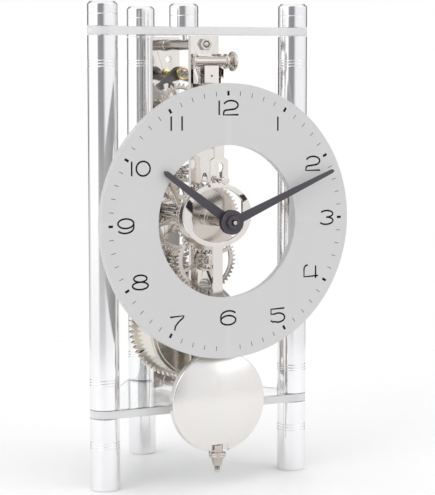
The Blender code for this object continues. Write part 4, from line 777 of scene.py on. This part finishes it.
def wheel(name, node, body, teeth, module, rim_in, metal, slot_name, tooth_at=math.pi / 2, spokes=4):
    """A crossed-out wheel with a turned collet on each face."""
    low, high = box_mm(node)
    bm = bmesh.new()
    if teeth:
        toothed(bm, teeth, module, tooth_at)
        rim_r = module * teeth / 2 - rim_in
    else:
        hooked(bm, 30, 12.0, 2.0, tooth_at, 0.62)
        rim_r = 12.0 - rim_in
    drill(bm, ARBOR_R + 0.12, (0, 0), 24)
    crossings(bm, 3.4, rim_r, spokes, 1.8, math.pi / 2 / spokes)
    thicken(bm, -high.y, -low.y)
    collet = bmesh.new()
    lathe(collet, [(ARBOR_R + 0.12, -high.y - 0.02), (COLLET_R, -high.y - 0.02), (COLLET_R, -low.y + 0.02), (ARBOR_R + 0.12, -low.y + 0.02)], 32)
    joined(bm, collet)
    stand(bm, 0.0, AXIS[body].z)
    fit(piece_of(name, bm, metal, 0.07, 1), body, slot_name, node)


def arbor_of(name, node, body, pinion, module, ends):
    """A steel arbor with a pinion cut in it. ends are the radii of its front and back pivots."""
    low, high = box_mm(node)
    bm = bmesh.new()
    front_r, back_r = ends
    pinion_back, pinion_front = PINION_AT[node]
    lathe(bm, [(0, -high.y), (back_r - 0.15, -high.y), (back_r, -high.y + 0.3), (back_r, 0.3 - inner_back),
               (ARBOR_R, 0.3 - inner_back), (ARBOR_R, -pinion_back), (ARBOR_R, -pinion_front)]
          + ([(ARBOR_R, -0.3 - inner_front), (front_r, -0.3 - inner_front)] if front_r < ARBOR_R else [])
          + [(front_r, -low.y - 0.35), (front_r * 0.8, -low.y - 0.1), (front_r * 0.45, -low.y), (0, -low.y)], 32)
    cut_pinion = bmesh.new()
    toothed(cut_pinion, pinion, module, math.pi / 2 + math.pi / pinion + math.pi)
    thicken(cut_pinion, -pinion_back, -pinion_front)
    joined(bm, cut_pinion)
    stand(bm, 0.0, AXIS[body].z)
    fit(piece_of(name, bm, bright_steel, 0.05, 1), body, "bright_steel", node)


# each pinion runs past both faces of the wheel that turns it
PINION_AT = {}
for node, driven_by in (("second_arbor", "barrel_drum"), ("centre_arbor", "second_wheel"),
                        ("third_arbor", "centre_wheel"), ("fourth_arbor", "third_wheel"),
                        ("escape_arbor", "fourth_wheel")):
    low, high = box_mm(driven_by)
    middle = high.y - 1.25 if node == "second_arbor" else (low.y + high.y) / 2
    PINION_AT[node] = (middle + 2.5, middle - (10.7 if node == "centre_arbor" else 2.5))

arbor_of("second_cut_arbor", "second_arbor", "second", SECOND_PINION, GREAT_MODULE, (0.6, 0.6))
# the wheels take the nickel whose colour is painted darker, a painted shade between the plates
wheel("second_crossed_wheel", "second_wheel", "second", SECOND_TEETH, SECOND_MODULE, 2.6, shade_darkened_nickel,
      "polished_nickel")
arbor_of("centre_cut_arbor", "centre_arbor", "centre", CENTRE_PINION, SECOND_MODULE, (1.0, 0.6))
wheel("centre_crossed_wheel", "centre_wheel", "centre", CENTRE_TEETH, UPPER_MODULE, 2.6, shade_darkened_nickel,
      "polished_nickel")
arbor_of("third_cut_arbor", "third_arbor", "third", THIRD_PINION, UPPER_MODULE, (0.6, 0.6))
wheel("third_crossed_wheel", "third_wheel", "third", THIRD_TEETH, UPPER_MODULE, 2.6, shade_darkened_nickel,
      "polished_nickel")
arbor_of("fourth_cut_arbor", "fourth_arbor", "fourth", FOURTH_PINION, UPPER_MODULE, (0.6, 0.6))
wheel("fourth_crossed_wheel", "fourth_wheel", "fourth", FOURTH_TEETH, UPPER_MODULE, 2.6, shade_darkened_nickel,
      "polished_nickel")
arbor_of("escape_cut_arbor", "escape_arbor", "escape", ESCAPE_PINION, UPPER_MODULE, (0.6, 0.6))
wheel("escape_sawtooth_wheel", "escape_wheel", "escape", 0, 0, 3.0, shade_darkened_nickel, "polished_nickel")

# ================================================================ pallets and crutch
# Blackened steel pallets over the escape wheel, on an arbor that runs through the front
# plate. In front of it the crutch, a thin steel arm with a pin, reaches the pendulum.
black_steel, _ = finish_of(
    "black_steel", (0.035, 0.035, 0.04), (0.25, 0.25, 0.26), (900.0, 900.0, 900.0), 90.0, 0.2, 0.32, 0.12,
    0.8, 0.9, 0.15)
brass, _ = finish_of(
    "brass", (0.78, 0.58, 0.30), (0.90, 0.74, 0.45), (420.0, 3600.0, 420.0), 70.0, 0.12, 0.17, 0.08,
    0.6, 1.0, 0.12)
frame["nodes"]["pallets"].material_slots[0].material = black_steel
PALLET_Z = TRAIN_Z["pallets"]
low, high = box_mm("pallet_arbor")
pallet_arbor = bmesh.new()
collet_front = 3.3 - 1000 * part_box("pallets")[0].y
lathe(pallet_arbor, [(0, -high.y), (0.45, -high.y), (0.6, -high.y + 0.3), (0.6, 0.3 - inner_back), (1.0, 0.3 - inner_back),
                     (1.0, collet_front - 3.1), (2.1, collet_front - 3.1), (2.3, collet_front - 2.9),
                     (2.3, collet_front), (1.0, collet_front), (1.0, -low.y - 0.2), (0.8, -low.y), (0, -low.y)], 32)
stand(pallet_arbor, 0.0, PALLET_Z)
fit(piece_of("pallet_turned_arbor", pallet_arbor, bright_steel, 0.05, 1), "pallets", "bright_steel", "pallet_arbor")

collar = bmesh.new()
lathe(collar, [(2.32, collet_front - 3.0), (3.1, collet_front - 3.0), (3.4, collet_front - 2.7), (3.4, collet_front),
               (2.32, collet_front)], 48)
stand(collar, 0.0, PALLET_Z)
collar_piece = piece_of("pallet_brass_collar", collar, brass, 0.08, 1)
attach(collar_piece, "pallets")
bush = bmesh.new()
lathe(bush, [(0.95, -0.02 - inner_back), (2.6, -0.02 - inner_back), (2.6, 0.25 - inner_back), (2.2, 0.4 - inner_back),
             (0.95, 0.4 - inner_back)], 40)
stand(bush, 0.0, PALLET_Z)
bush_piece = piece_of("pallet_brass_bush", bush, brass, 0)
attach(bush_piece, "frame")

low, high = box_mm("crutch")
CRUTCH_BACK = high.y
PIN_Z = PALLET_Z - 15.0
crutch = bmesh.new()
first = crutch.verts.new((2.0 * math.cos(-0.3 * math.pi), 2.0 * math.sin(-0.3 * math.pi), 0))
last = sweep(crutch, first, (0, 0), 1.6 * math.pi, 28)
foot_right = crutch.verts.new((1.2, -15.0, 0))
foot_left = sweep(crutch, foot_right, (0, -15.0), -math.pi, 14)
crutch.edges.new((last, foot_left))
crutch.edges.new((foot_right, first))
drill(crutch, 1.15, (0, 0), 24)
thicken(crutch, -CRUTCH_BACK, -CRUTCH_BACK + 1.0)
pin = bmesh.new()
lathe(pin, [(0, -CRUTCH_BACK + 0.3), (0.6, -CRUTCH_BACK + 0.3), (0.6, -low.y - 0.2), (0.4, -low.y), (0, -low.y)], 20)
bmesh.ops.translate(pin, vec=(0, -15.0, 0), verts=pin.verts)
joined(crutch, pin)
stand(crutch, 0.0, PALLET_Z)
fit(piece_of("crutch_with_pin", crutch, bright_steel, 0.1), "pallets", "bright_steel", "crutch")

# ================================================================ motion work
# On the front plate the cannon drives the minute wheel on its post, whose pinion drives the
# hour wheel. The hour wheel's stepped pipe runs forward through the pendulum to the dial.
MOTION_MODULE = 0.7
CANNON_TEETH, MINUTE_TEETH, MINUTE_PINION, HOUR_TEETH = 15, 45, 12, 48
CENTRE_Z = TRAIN_Z["centre"]
minute_low, minute_high = box_mm("minute_wheel")
hour_low, hour_high = box_mm("hour_wheel")
wheel_front = minute_high.y - 1.4

low, high = box_mm("cannon_pinion")
cannon = bmesh.new()
lathe(cannon, [(1.25, -high.y), (2.1, -high.y), (2.1, -low.y - 0.1), (2.0, -low.y), (1.25, -low.y)], 40)
cannon_teeth = bmesh.new()
toothed(cannon_teeth, CANNON_TEETH, MOTION_MODULE, -math.pi / 2)
drill(cannon_teeth, 1.4, (0, 0), 24)
thicken(cannon_teeth, -high.y, -(wheel_front - 0.3))
joined(cannon, cannon_teeth)
stand(cannon, 0.0, CENTRE_Z)
fit(piece_of("cannon_cut_pinion", cannon, brass, 0.05, 1), "centre", "brass", "cannon_pinion")

minute_wheel = bmesh.new()
toothed(minute_wheel, MINUTE_TEETH, MOTION_MODULE, math.pi / 2 + math.pi / MINUTE_TEETH)
drill(minute_wheel, 1.3, (0, 0), 24)
crossings(minute_wheel, 5.6, MOTION_MODULE * MINUTE_TEETH / 2 - 2.6, 4, 1.8, math.pi / 8)
thicken(minute_wheel, -minute_high.y, -wheel_front)
minute_pinion = bmesh.new()
toothed(minute_pinion, MINUTE_PINION, MOTION_MODULE, math.pi / 2 + math.pi / MINUTE_PINION)
drill(minute_pinion, 1.35, (0, 0), 24)
thicken(minute_pinion, -wheel_front - 0.2, -minute_low.y)
joined(minute_wheel, minute_pinion)
stand(minute_wheel, 0.0, MINUTE_Z)
fit(piece_of("minute_crossed_wheel", minute_wheel, shade_darkened_nickel, 0.07, 1), "minute_wheel", "polished_nickel",
    "minute_wheel")

low, high = box_mm("minute_wheel_post")
post = bmesh.new()
lathe(post, [(0, -high.y), (1.0, -high.y), (1.0, -low.y - 1.0), (2.0, -low.y - 1.0), (2.0, -low.y - 0.3), (1.7, -low.y),
             (0, -low.y)], 32)
stand(post, 0.0, MINUTE_Z)
fit(piece_of("minute_wheel_headed_post", post, bright_steel, 0.05, 1), "frame", "bright_steel",
    "minute_wheel_post")

hour_wheel = bmesh.new()
toothed(hour_wheel, HOUR_TEETH, MOTION_MODULE, -math.pi / 2)
drill(hour_wheel, 2.6, (0, 0), 32)
thicken(hour_wheel, -hour_high.y, -hour_high.y + 1.4)
pipe = bmesh.new()
pipe_back, pipe_front = -hour_high.y + 0.7, -hour_low.y
lathe(pipe, [(2.45, pipe_back), (3.4, pipe_back), (3.4, pipe_back + 3.0), (3.15, pipe_back + 3.2),
             (3.15, pipe_back + 4.4), (3.4, pipe_back + 4.6), (3.4, pipe_back + 6.0), (3.1, pipe_back + 6.2),
             (3.1, pipe_front - 3.4), (3.4, pipe_front - 3.2), (3.4, pipe_front), (2.45, pipe_front)], 48)
joined(hour_wheel, pipe)
stand(hour_wheel, 0.0, CENTRE_Z)
fit(piece_of("hour_wheel_with_pipe", hour_wheel, shade_darkened_nickel, 0.07, 1), "hour", "polished_nickel",
    "hour_wheel")

# ================================================================ hands
# Two tapered hands blanked from thin steel and painted dark grey, with round hubs. A round
# nut on the centre arbor holds them, and the arbor's polished tip shows in it.
gunmetal, _ = finish_of(
    "gunmetal", (0.045, 0.040, 0.051), (0.16, 0.15, 0.17), (1300.0, 1300.0, 1300.0), 45.0, 0.18, 0.48, 0.12,
    0.35, 0.25, 0.35)
HUB_R = 6.0
TURNED = {"minute": 11.2 / 60, "hour": (10 + 11.2 / 60) / 12}


def hand(name, node, body, length, hub_half, tip_half, turn, bore):
    """A hub with a tapered blade and a blunt point, turned clockwise from twelve."""
    low, high = box_mm(node)
    lean = math.asin(hub_half / HUB_R)
    bm = bmesh.new()
    start = bm.verts.new((HUB_R * math.cos(math.pi / 2 + lean), HUB_R * math.sin(math.pi / 2 + lean), 0))
    end = sweep(bm, start, (0, 0), 2 * math.pi - 2 * lean, 56)
    blade = [bm.verts.new((x, y, 0)) for x, y in (
        (tip_half, length - tip_half), (tip_half / 3, length), (-tip_half / 3, length),
        (-tip_half, length - tip_half))]
    for pair in zip([end] + blade, blade + [start]):
        bm.edges.new(pair)
    drill(bm, bore, (0, 0), 40)
    bmesh.ops.rotate(bm, cent=(0, 0, 0), matrix=Matrix.Rotation(-2 * math.pi * turn, 3, "Z"), verts=bm.verts)
    thicken(bm, -high.y, -low.y)
    stand(bm, 0.0, DIAL_Z)
    fit(piece_of(name, bm, gunmetal, 0.12), body, "gunmetal", node)


hand("hour_tapered_hand", "hour_hand", "hour", 43.4, 2.4, 1.3, TURNED["hour"], 3.55)
hand("minute_tapered_hand", "minute_hand", "centre", 61.5, 2.2, 1.0, TURNED["minute"], 2.25)
low, high = box_mm("hand_nut")
nut = bmesh.new()
lathe(nut, [(1.2, -high.y), (3.25, -high.y), (3.25, -low.y - 0.3), (2.95, -low.y), (1.5, -low.y), (1.2, -low.y - 0.3)], 48)
stand(nut, 0.0, DIAL_Z)
fit(piece_of("hand_round_nut", nut, gunmetal, 0.06, 1), "centre", "gunmetal", "hand_nut")

# ================================================================ suspension
# A bent nickel bracket on the front plate carries the beat screw, whose flared knob is turned
# by hand. A half nut with a front skirt runs along the screw, and the steel leaf hangs from it.
SUSPENSION_Z = AXIS["beat_screw"].z
SUSPENSION_Y = AXIS["beat_screw"].y


def block_of(bm, x, y, z):
    """Adds a rectangular block that reaches between the given pairs of limits."""
    made = bmesh.ops.create_cube(bm, size=1.0)["verts"]
    bmesh.ops.scale(bm, vec=(x[1] - x[0], y[1] - y[0], z[1] - z[0]), verts=made)
    bmesh.ops.translate(bm, vec=((x[0] + x[1]) / 2, (y[0] + y[1]) / 2, (z[0] + z[1]) / 2), verts=made)


def punched(bm, cutter, name):
    """Takes a cutter's shape out of a piece, and returns the piece as a drawing again."""
    objects = []
    for label, drawing in ((name, bm), (name + "_punch", cutter)):
        bmesh.ops.recalc_face_normals(drawing, faces=drawing.faces)
        mesh = bpy.data.meshes.new(label)
        drawing.to_mesh(mesh)
        drawing.free()
        made = bpy.data.objects.new(label, mesh)
        scene.collection.objects.link(made)
        objects.append(made)
    punch = objects[0].modifiers.new("punch", "BOOLEAN")
    punch.object = objects[1]
    punch.solver = "EXACT"
    bpy.context.view_layer.update()
    result = bmesh.new()
    result.from_mesh(bpy.data.meshes.new_from_object(
        objects[0].evaluated_get(bpy.context.evaluated_depsgraph_get())))
    for made in objects:
        bpy.data.objects.remove(made)
    return result


def cross_bore(radius, middle, axis):
    """A cutter for a round hole along X or Y through the given point."""
    bm = bmesh.new()
    bmesh.ops.create_cone(bm, cap_ends=True, segments=40, radius1=radius, radius2=radius, depth=40.0,
                          matrix=Matrix.Translation(middle) @ Matrix.Rotation(math.pi / 2, 4, axis))
    return bm


rod_axis = Vector((0.0, SUSPENSION_Y, SUSPENSION_Z))
low, high = box_mm("suspension_bracket")
bracket = bmesh.new()
bracket_points = [bracket.verts.new((x, y, 0)) for x, y in (
    (low.x, high.y), (low.x, low.y), (low.x + 1.4, low.y), (low.x + 1.4, high.y - 1.2), (high.x - 1.4, high.y - 1.2),
    (high.x - 1.4, low.y), (high.x, low.y), (high.x, high.y))]
for i, point in enumerate(bracket_points):
    bracket.edges.new((bracket_points[i - 1], point))
thicken(bracket, 2 * SUSPENSION_Z - high.z, high.z)
bracket = punched(bracket, cross_bore(2.85, rod_axis, "Y"), "bracket")
for ear_x in ((low.x, low.x + 1.4), (high.x - 1.4, high.x)):
    block_of(bracket, ear_x, (low.y, high.y - 1.2), (low.z, SUSPENSION_Z - 3.7))
fit(piece_of("suspension_bent_bracket", bracket, polished_nickel, 0.15, 2), "frame", "polished_nickel",
    "suspension_bracket")

low, high = box_mm("beat_screw")
beat = bmesh.new()
washer_in = high.x - 5.2
lathe(beat, [(0, low.x), (2.1, low.x), (2.5, low.x + 0.4), (2.5, washer_in - 0.4), (3.2, washer_in), (3.75, washer_in + 0.2),
             (3.75, washer_in + 1.1), (3.5, washer_in + 1.2), (2.0, washer_in + 1.25), (2.0, washer_in + 1.9),
             (2.5, washer_in + 2.7), (3.5, washer_in + 3.4), (4.7, high.x - 1.3), (4.9, high.x - 1.1), (4.9, high.x - 0.3),
             (4.6, high.x), (3.9, high.x), (3.0, high.x - 0.7), (0, high.x - 0.9)], 64)
bmesh.ops.rotate(beat, cent=(0, 0, 0), matrix=Matrix.Rotation(math.pi / 2, 3, "Y"), verts=beat.verts)
bmesh.ops.translate(beat, vec=rod_axis, verts=beat.verts)
fit(piece_of("beat_knobbed_screw", beat, shade_darkened_nickel, 0.1, 2), "beat_screw", "polished_nickel", "beat_screw")

low, high = box_mm("suspension_block")
block = bmesh.new()
side_view = [block.verts.new((0, y, z)) for y, z in (
    (low.y, low.z), (low.y + 1.0, low.z), (low.y + 1.0, PALLET_Z + 1.9), (high.y, PALLET_Z + 1.9), (high.y, high.z),
    (low.y, high.z))]
for i, point in enumerate(side_view):
    block.edges.new((side_view[i - 1], point))
filled = bmesh.ops.triangle_fill(block, use_beauty=True, edges=block.edges[:])
grown = bmesh.ops.extrude_face_region(block, geom=[f for f in filled["geom"] if isinstance(f, bmesh.types.BMFace)])
bmesh.ops.translate(block, vec=(high.x - low.x, 0, 0), verts=[v for v in grown["geom"] if isinstance(v, bmesh.types.BMVert)])
bmesh.ops.translate(block, vec=(low.x, 0, 0), verts=block.verts)
block = punched(block, cross_bore(2.8, rod_axis, "Y"), "block")
block = punched(block, cross_bore(0.6, Vector((0.0, SUSPENSION_Y - 21.0, SUSPENSION_Z - 7.1)), "X"), "block")
fit(piece_of("suspension_half_nut", block, polished_nickel, 0.12, 2), "suspension", "polished_nickel",
    "suspension_block")
frame["nodes"]["suspension_spring"].material_slots[0].material = bright_steel

# ================================================================ pendulum
# A cranked nickel strip hangs from the spring and ends in a head with a keyhole. The hook of
# the pendulum hangs in it: a flat ring round the hour pipe, a bar and a threaded steel rod.
hanger_low, hanger_high = box_mm("pendulum_hanger")
HANGER_T, BAR_W, HANGER_W, HEAD_W = 1.3, 5.3, 8.6, 9.6
HOOK_Z, RING_Z, RING_R, RING_HOLE_R, RING_FLAT, RING_STRETCH = 153.2, 135.6, 15.9, 13.5, 11.6, 1.176
pendulum_low, pendulum_high = box_mm("pendulum_frame")
PENDULUM_Y = sum(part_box("pendulum_rod"), Vector()).y * 500
HANGER_Y = hanger_low.y + HANGER_T / 2
head_top, head_low = HOOK_Z + 10.9, HOOK_Z - 3.6
clamp_top = PALLET_Z - 1.6


def strip_section(bm, z, y, half):
    """One level of the strip's outline, as a closed loop of four edges."""
    ring = [bm.verts.new((x, y + t, z)) for x, t in (
        (-half, -HANGER_T / 2), (half, -HANGER_T / 2), (half, HANGER_T / 2), (-half, HANGER_T / 2))]
    return [bm.edges.new((ring[i - 1], ring[i])) for i in range(4)]


hanger = bmesh.new()
levels = [(clamp_top, SUSPENSION_Y, HANGER_W / 2), (clamp_top - 5, SUSPENSION_Y, HANGER_W / 2),
          (clamp_top - 5.6, SUSPENSION_Y, BAR_W / 2), (head_top + 20, SUSPENSION_Y, BAR_W / 2),
          (head_top + 7, HANGER_Y, BAR_W / 2), (head_top, HANGER_Y, BAR_W / 2), (head_top - 1.2, HANGER_Y, HEAD_W / 2),
          (head_low, HANGER_Y, HEAD_W / 2)]
sections = [strip_section(hanger, *level) for level in levels]
for one, other in zip(sections, sections[1:]):
    bmesh.ops.bridge_loops(hanger, edges=one + other)
for end in (sections[0], sections[-1]):
    bmesh.ops.contextual_create(hanger, geom=end)
keyhole = bmesh.new()
slot_half, round_r, round_z = 1.55, 2.3, HOOK_Z + 6.2
lean = math.asin(slot_half / round_r)
first = keyhole.verts.new((round_r * math.cos(-math.pi / 2 + lean), round_z + round_r * math.sin(-math.pi / 2 + lean), 0))
last = sweep(keyhole, first, (0, round_z), 2 * math.pi - 2 * lean, 32)
left = keyhole.verts.new((-slot_half, HOOK_Z, 0))
right = sweep(keyhole, left, (0, HOOK_Z), math.pi, 16)
keyhole.edges.new((last, left))
keyhole.edges.new((right, first))
thicken(keyhole, -HANGER_Y - 2, -HANGER_Y + 2)
stand(keyhole)
hanger = punched(hanger, keyhole, "hanger")
fork = bmesh.new()
bmesh.ops.create_cube(fork, size=1.0)
bmesh.ops.scale(fork, vec=(2.6, 4.0, 4.0), verts=fork.verts)
bmesh.ops.translate(fork, vec=(0, SUSPENSION_Y, PIN_Z), verts=fork.verts)
hanger = punched(hanger, fork, "hanger")
fit(piece_of("pendulum_cranked_hanger", hanger, polished_nickel, 0.15), "pendulum", "polished_nickel",
    "pendulum_hanger")

rod_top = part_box("pendulum_rod")[1].z * 1000
ring = bmesh.new()
ring_front, ring_back = PENDULUM_Y - 0.8, PENDULUM_Y + 0.8
flat = math.acos(RING_FLAT / RING_HOLE_R)
bar_lean, neck_lean = (math.asin(w / 2 / (RING_R * RING_STRETCH)) for w in (BAR_W, HANGER_W))
right_low = ring.verts.new((RING_R * math.sin(bar_lean), RING_Z - RING_R * math.cos(bar_lean), 0))
right_top = sweep(ring, right_low, (0, RING_Z), math.pi - bar_lean - neck_lean, 40)
left_top = ring.verts.new((-RING_R * math.sin(neck_lean), RING_Z + RING_R * math.cos(neck_lean), 0))
left_low = sweep(ring, left_top, (0, RING_Z), math.pi - bar_lean - neck_lean, 40)
upper_right = ring.verts.new((RING_HOLE_R * math.cos(flat), RING_Z + RING_HOLE_R * math.sin(flat), 0))
upper_left = sweep(ring, upper_right, (0, RING_Z), math.pi - 2 * flat, 28)
lower_left = ring.verts.new((-RING_HOLE_R * math.cos(flat), RING_Z - RING_HOLE_R * math.sin(flat), 0))
lower_right = sweep(ring, lower_left, (0, RING_Z), math.pi - 2 * flat, 28)
ring.edges.new((upper_left, lower_left))
ring.edges.new((lower_right, upper_right))
bmesh.ops.scale(ring, vec=(RING_STRETCH, 1.0, 1.0), verts=ring.verts)
right_foot = ring.verts.new((BAR_W / 2, rod_top + 0.3, 0))
right_neck = ring.verts.new((HANGER_W / 2, HOOK_Z + 4.0, 0))
left_neck = ring.verts.new((-HANGER_W / 2, HOOK_Z + 4.0, 0))
left_foot = ring.verts.new((-BAR_W / 2, rod_top + 0.3, 0))
for pair in ((right_foot, right_low), (right_top, right_neck), (right_neck, left_neck), (left_neck, left_top),
             (left_low, left_foot), (left_foot, right_foot)):
    ring.edges.new(pair)
thicken(ring, -ring_back, -ring_front)
hook = bmesh.new()
lathe(hook, [(0, -PENDULUM_Y), (1.2, -PENDULUM_Y), (1.2, -pendulum_low.y - 1.3), (2.0, -pendulum_low.y - 1.3),
             (2.0, -pendulum_low.y - 0.35), (1.65, -pendulum_low.y), (0, -pendulum_low.y)], 40)
bmesh.ops.translate(hook, vec=(0, HOOK_Z, 0), verts=hook.verts)
joined(ring, hook)
stand(ring)
fit(piece_of("pendulum_ring_and_bar", ring, polished_nickel, 0.15), "pendulum", "polished_nickel",
    "pendulum_frame")

low, high = box_mm("pendulum_rod")
rod = bmesh.new()
thread = []
z = low.z + 1.5
while z < low.z + 24.0:
    thread += [(1.28, z), (1.5, z + 0.25)]
    z += 0.5
lathe(rod, [(0, low.z), (0.8, low.z), (1.3, low.z + 0.6), (1.45, low.z + 1.3)] + thread
      + [(1.5, high.z - 0.2), (1.3, high.z), (0, high.z)], 24)
bmesh.ops.translate(rod, vec=(0, PENDULUM_Y, 0), verts=rod.verts)
fit(piece_of("pendulum_threaded_rod", rod, bright_steel, 0), "pendulum", "bright_steel", "pendulum_rod")

# ================================================================ bob and rating nut
# The bob is a heavy lens of satin-plated metal, notched at its foot for the rating nut,
# whose flange is turned by hand to lift or lower the bob on the rod's thread.
bob_low, bob_high = box_mm("bob")
BOB_Z, BOB_R = (bob_low.z + bob_high.z) / 2, (bob_high.x - bob_low.x) / 2
RIM_HALF, CROWN_HALF = 2.3, (bob_high.y - bob_low.y) / 2
satin_plate, _ = finish_of(
    "satin_plate", (0.80, 0.78, 0.76), (0.90, 0.89, 0.87), (240.0, 240.0, 240.0), 30.0, 0.04, 0.22, 0.05,
    0.4, 1.0, 0.06)
bob = bmesh.new()
lens_r = ((BOB_R - 0.6) ** 2 + (CROWN_HALF - RIM_HALF) ** 2) / (2 * (CROWN_HALF - RIM_HALF))
face = [(r, RIM_HALF + math.sqrt(lens_r ** 2 - r ** 2) - (lens_r - (CROWN_HALF - RIM_HALF)))
        for r in ((BOB_R - 0.6) * i / 20 for i in range(21))]
lathe(bob, [(r, -h) for r, h in face] + [(BOB_R - 0.3, -RIM_HALF + 0.1), (BOB_R, -RIM_HALF + 0.5), (BOB_R, RIM_HALF - 0.5), (BOB_R - 0.3, RIM_HALF - 0.1)]
      + face[::-1], 128)
bmesh.ops.translate(bob, vec=(0, 0, -PENDULUM_Y), verts=bob.verts)
stand(bob, 0.0, BOB_Z)
notch = bmesh.new()
bmesh.ops.create_cube(notch, size=1.0)
bmesh.ops.scale(notch, vec=(9.7, 20.0, 10.0), verts=notch.verts)
bmesh.ops.translate(notch, vec=(0, PENDULUM_Y, BOB_Z - BOB_R + 3.9 - 5.0), verts=notch.verts)
drill_through = bmesh.new()
bmesh.ops.create_cone(drill_through, cap_ends=True, segments=32, radius1=1.85, radius2=1.85, depth=60.0)
bmesh.ops.translate(drill_through, vec=(0, PENDULUM_Y, BOB_Z), verts=drill_through.verts)
bob = punched(punched(bob, notch, "bob"), drill_through, "bob")
fit(piece_of("lens_bob", bob, satin_plate, 0.15), "bob", "satin_nickel", "bob")

low, high = box_mm("rating_nut")
bob_low_z = BOB_Z - BOB_R
nut = bmesh.new()
flange_top = bob_low_z - 0.3
lathe(nut, [(1.8, high.z), (2.9, high.z), (2.9, flange_top), (3.95, flange_top), (4.35, flange_top - 0.4),
            (4.35, flange_top - 1.2), (4.0, flange_top - 1.5), (4.2, flange_top - 1.8), (4.2, flange_top - 2.3),
            (3.6, flange_top - 2.9), (3.0, flange_top - 3.4), (2.7, flange_top - 4.4), (2.2, low.z + 0.3),
            (1.9, low.z), (1.8, low.z)], 64)
bmesh.ops.translate(nut, vec=(0, PENDULUM_Y, 0), verts=nut.verts)
fit(piece_of("rating_flanged_nut", nut, shade_darkened_nickel, 0.1), "rating_nut", "polished_nickel", "rating_nut")
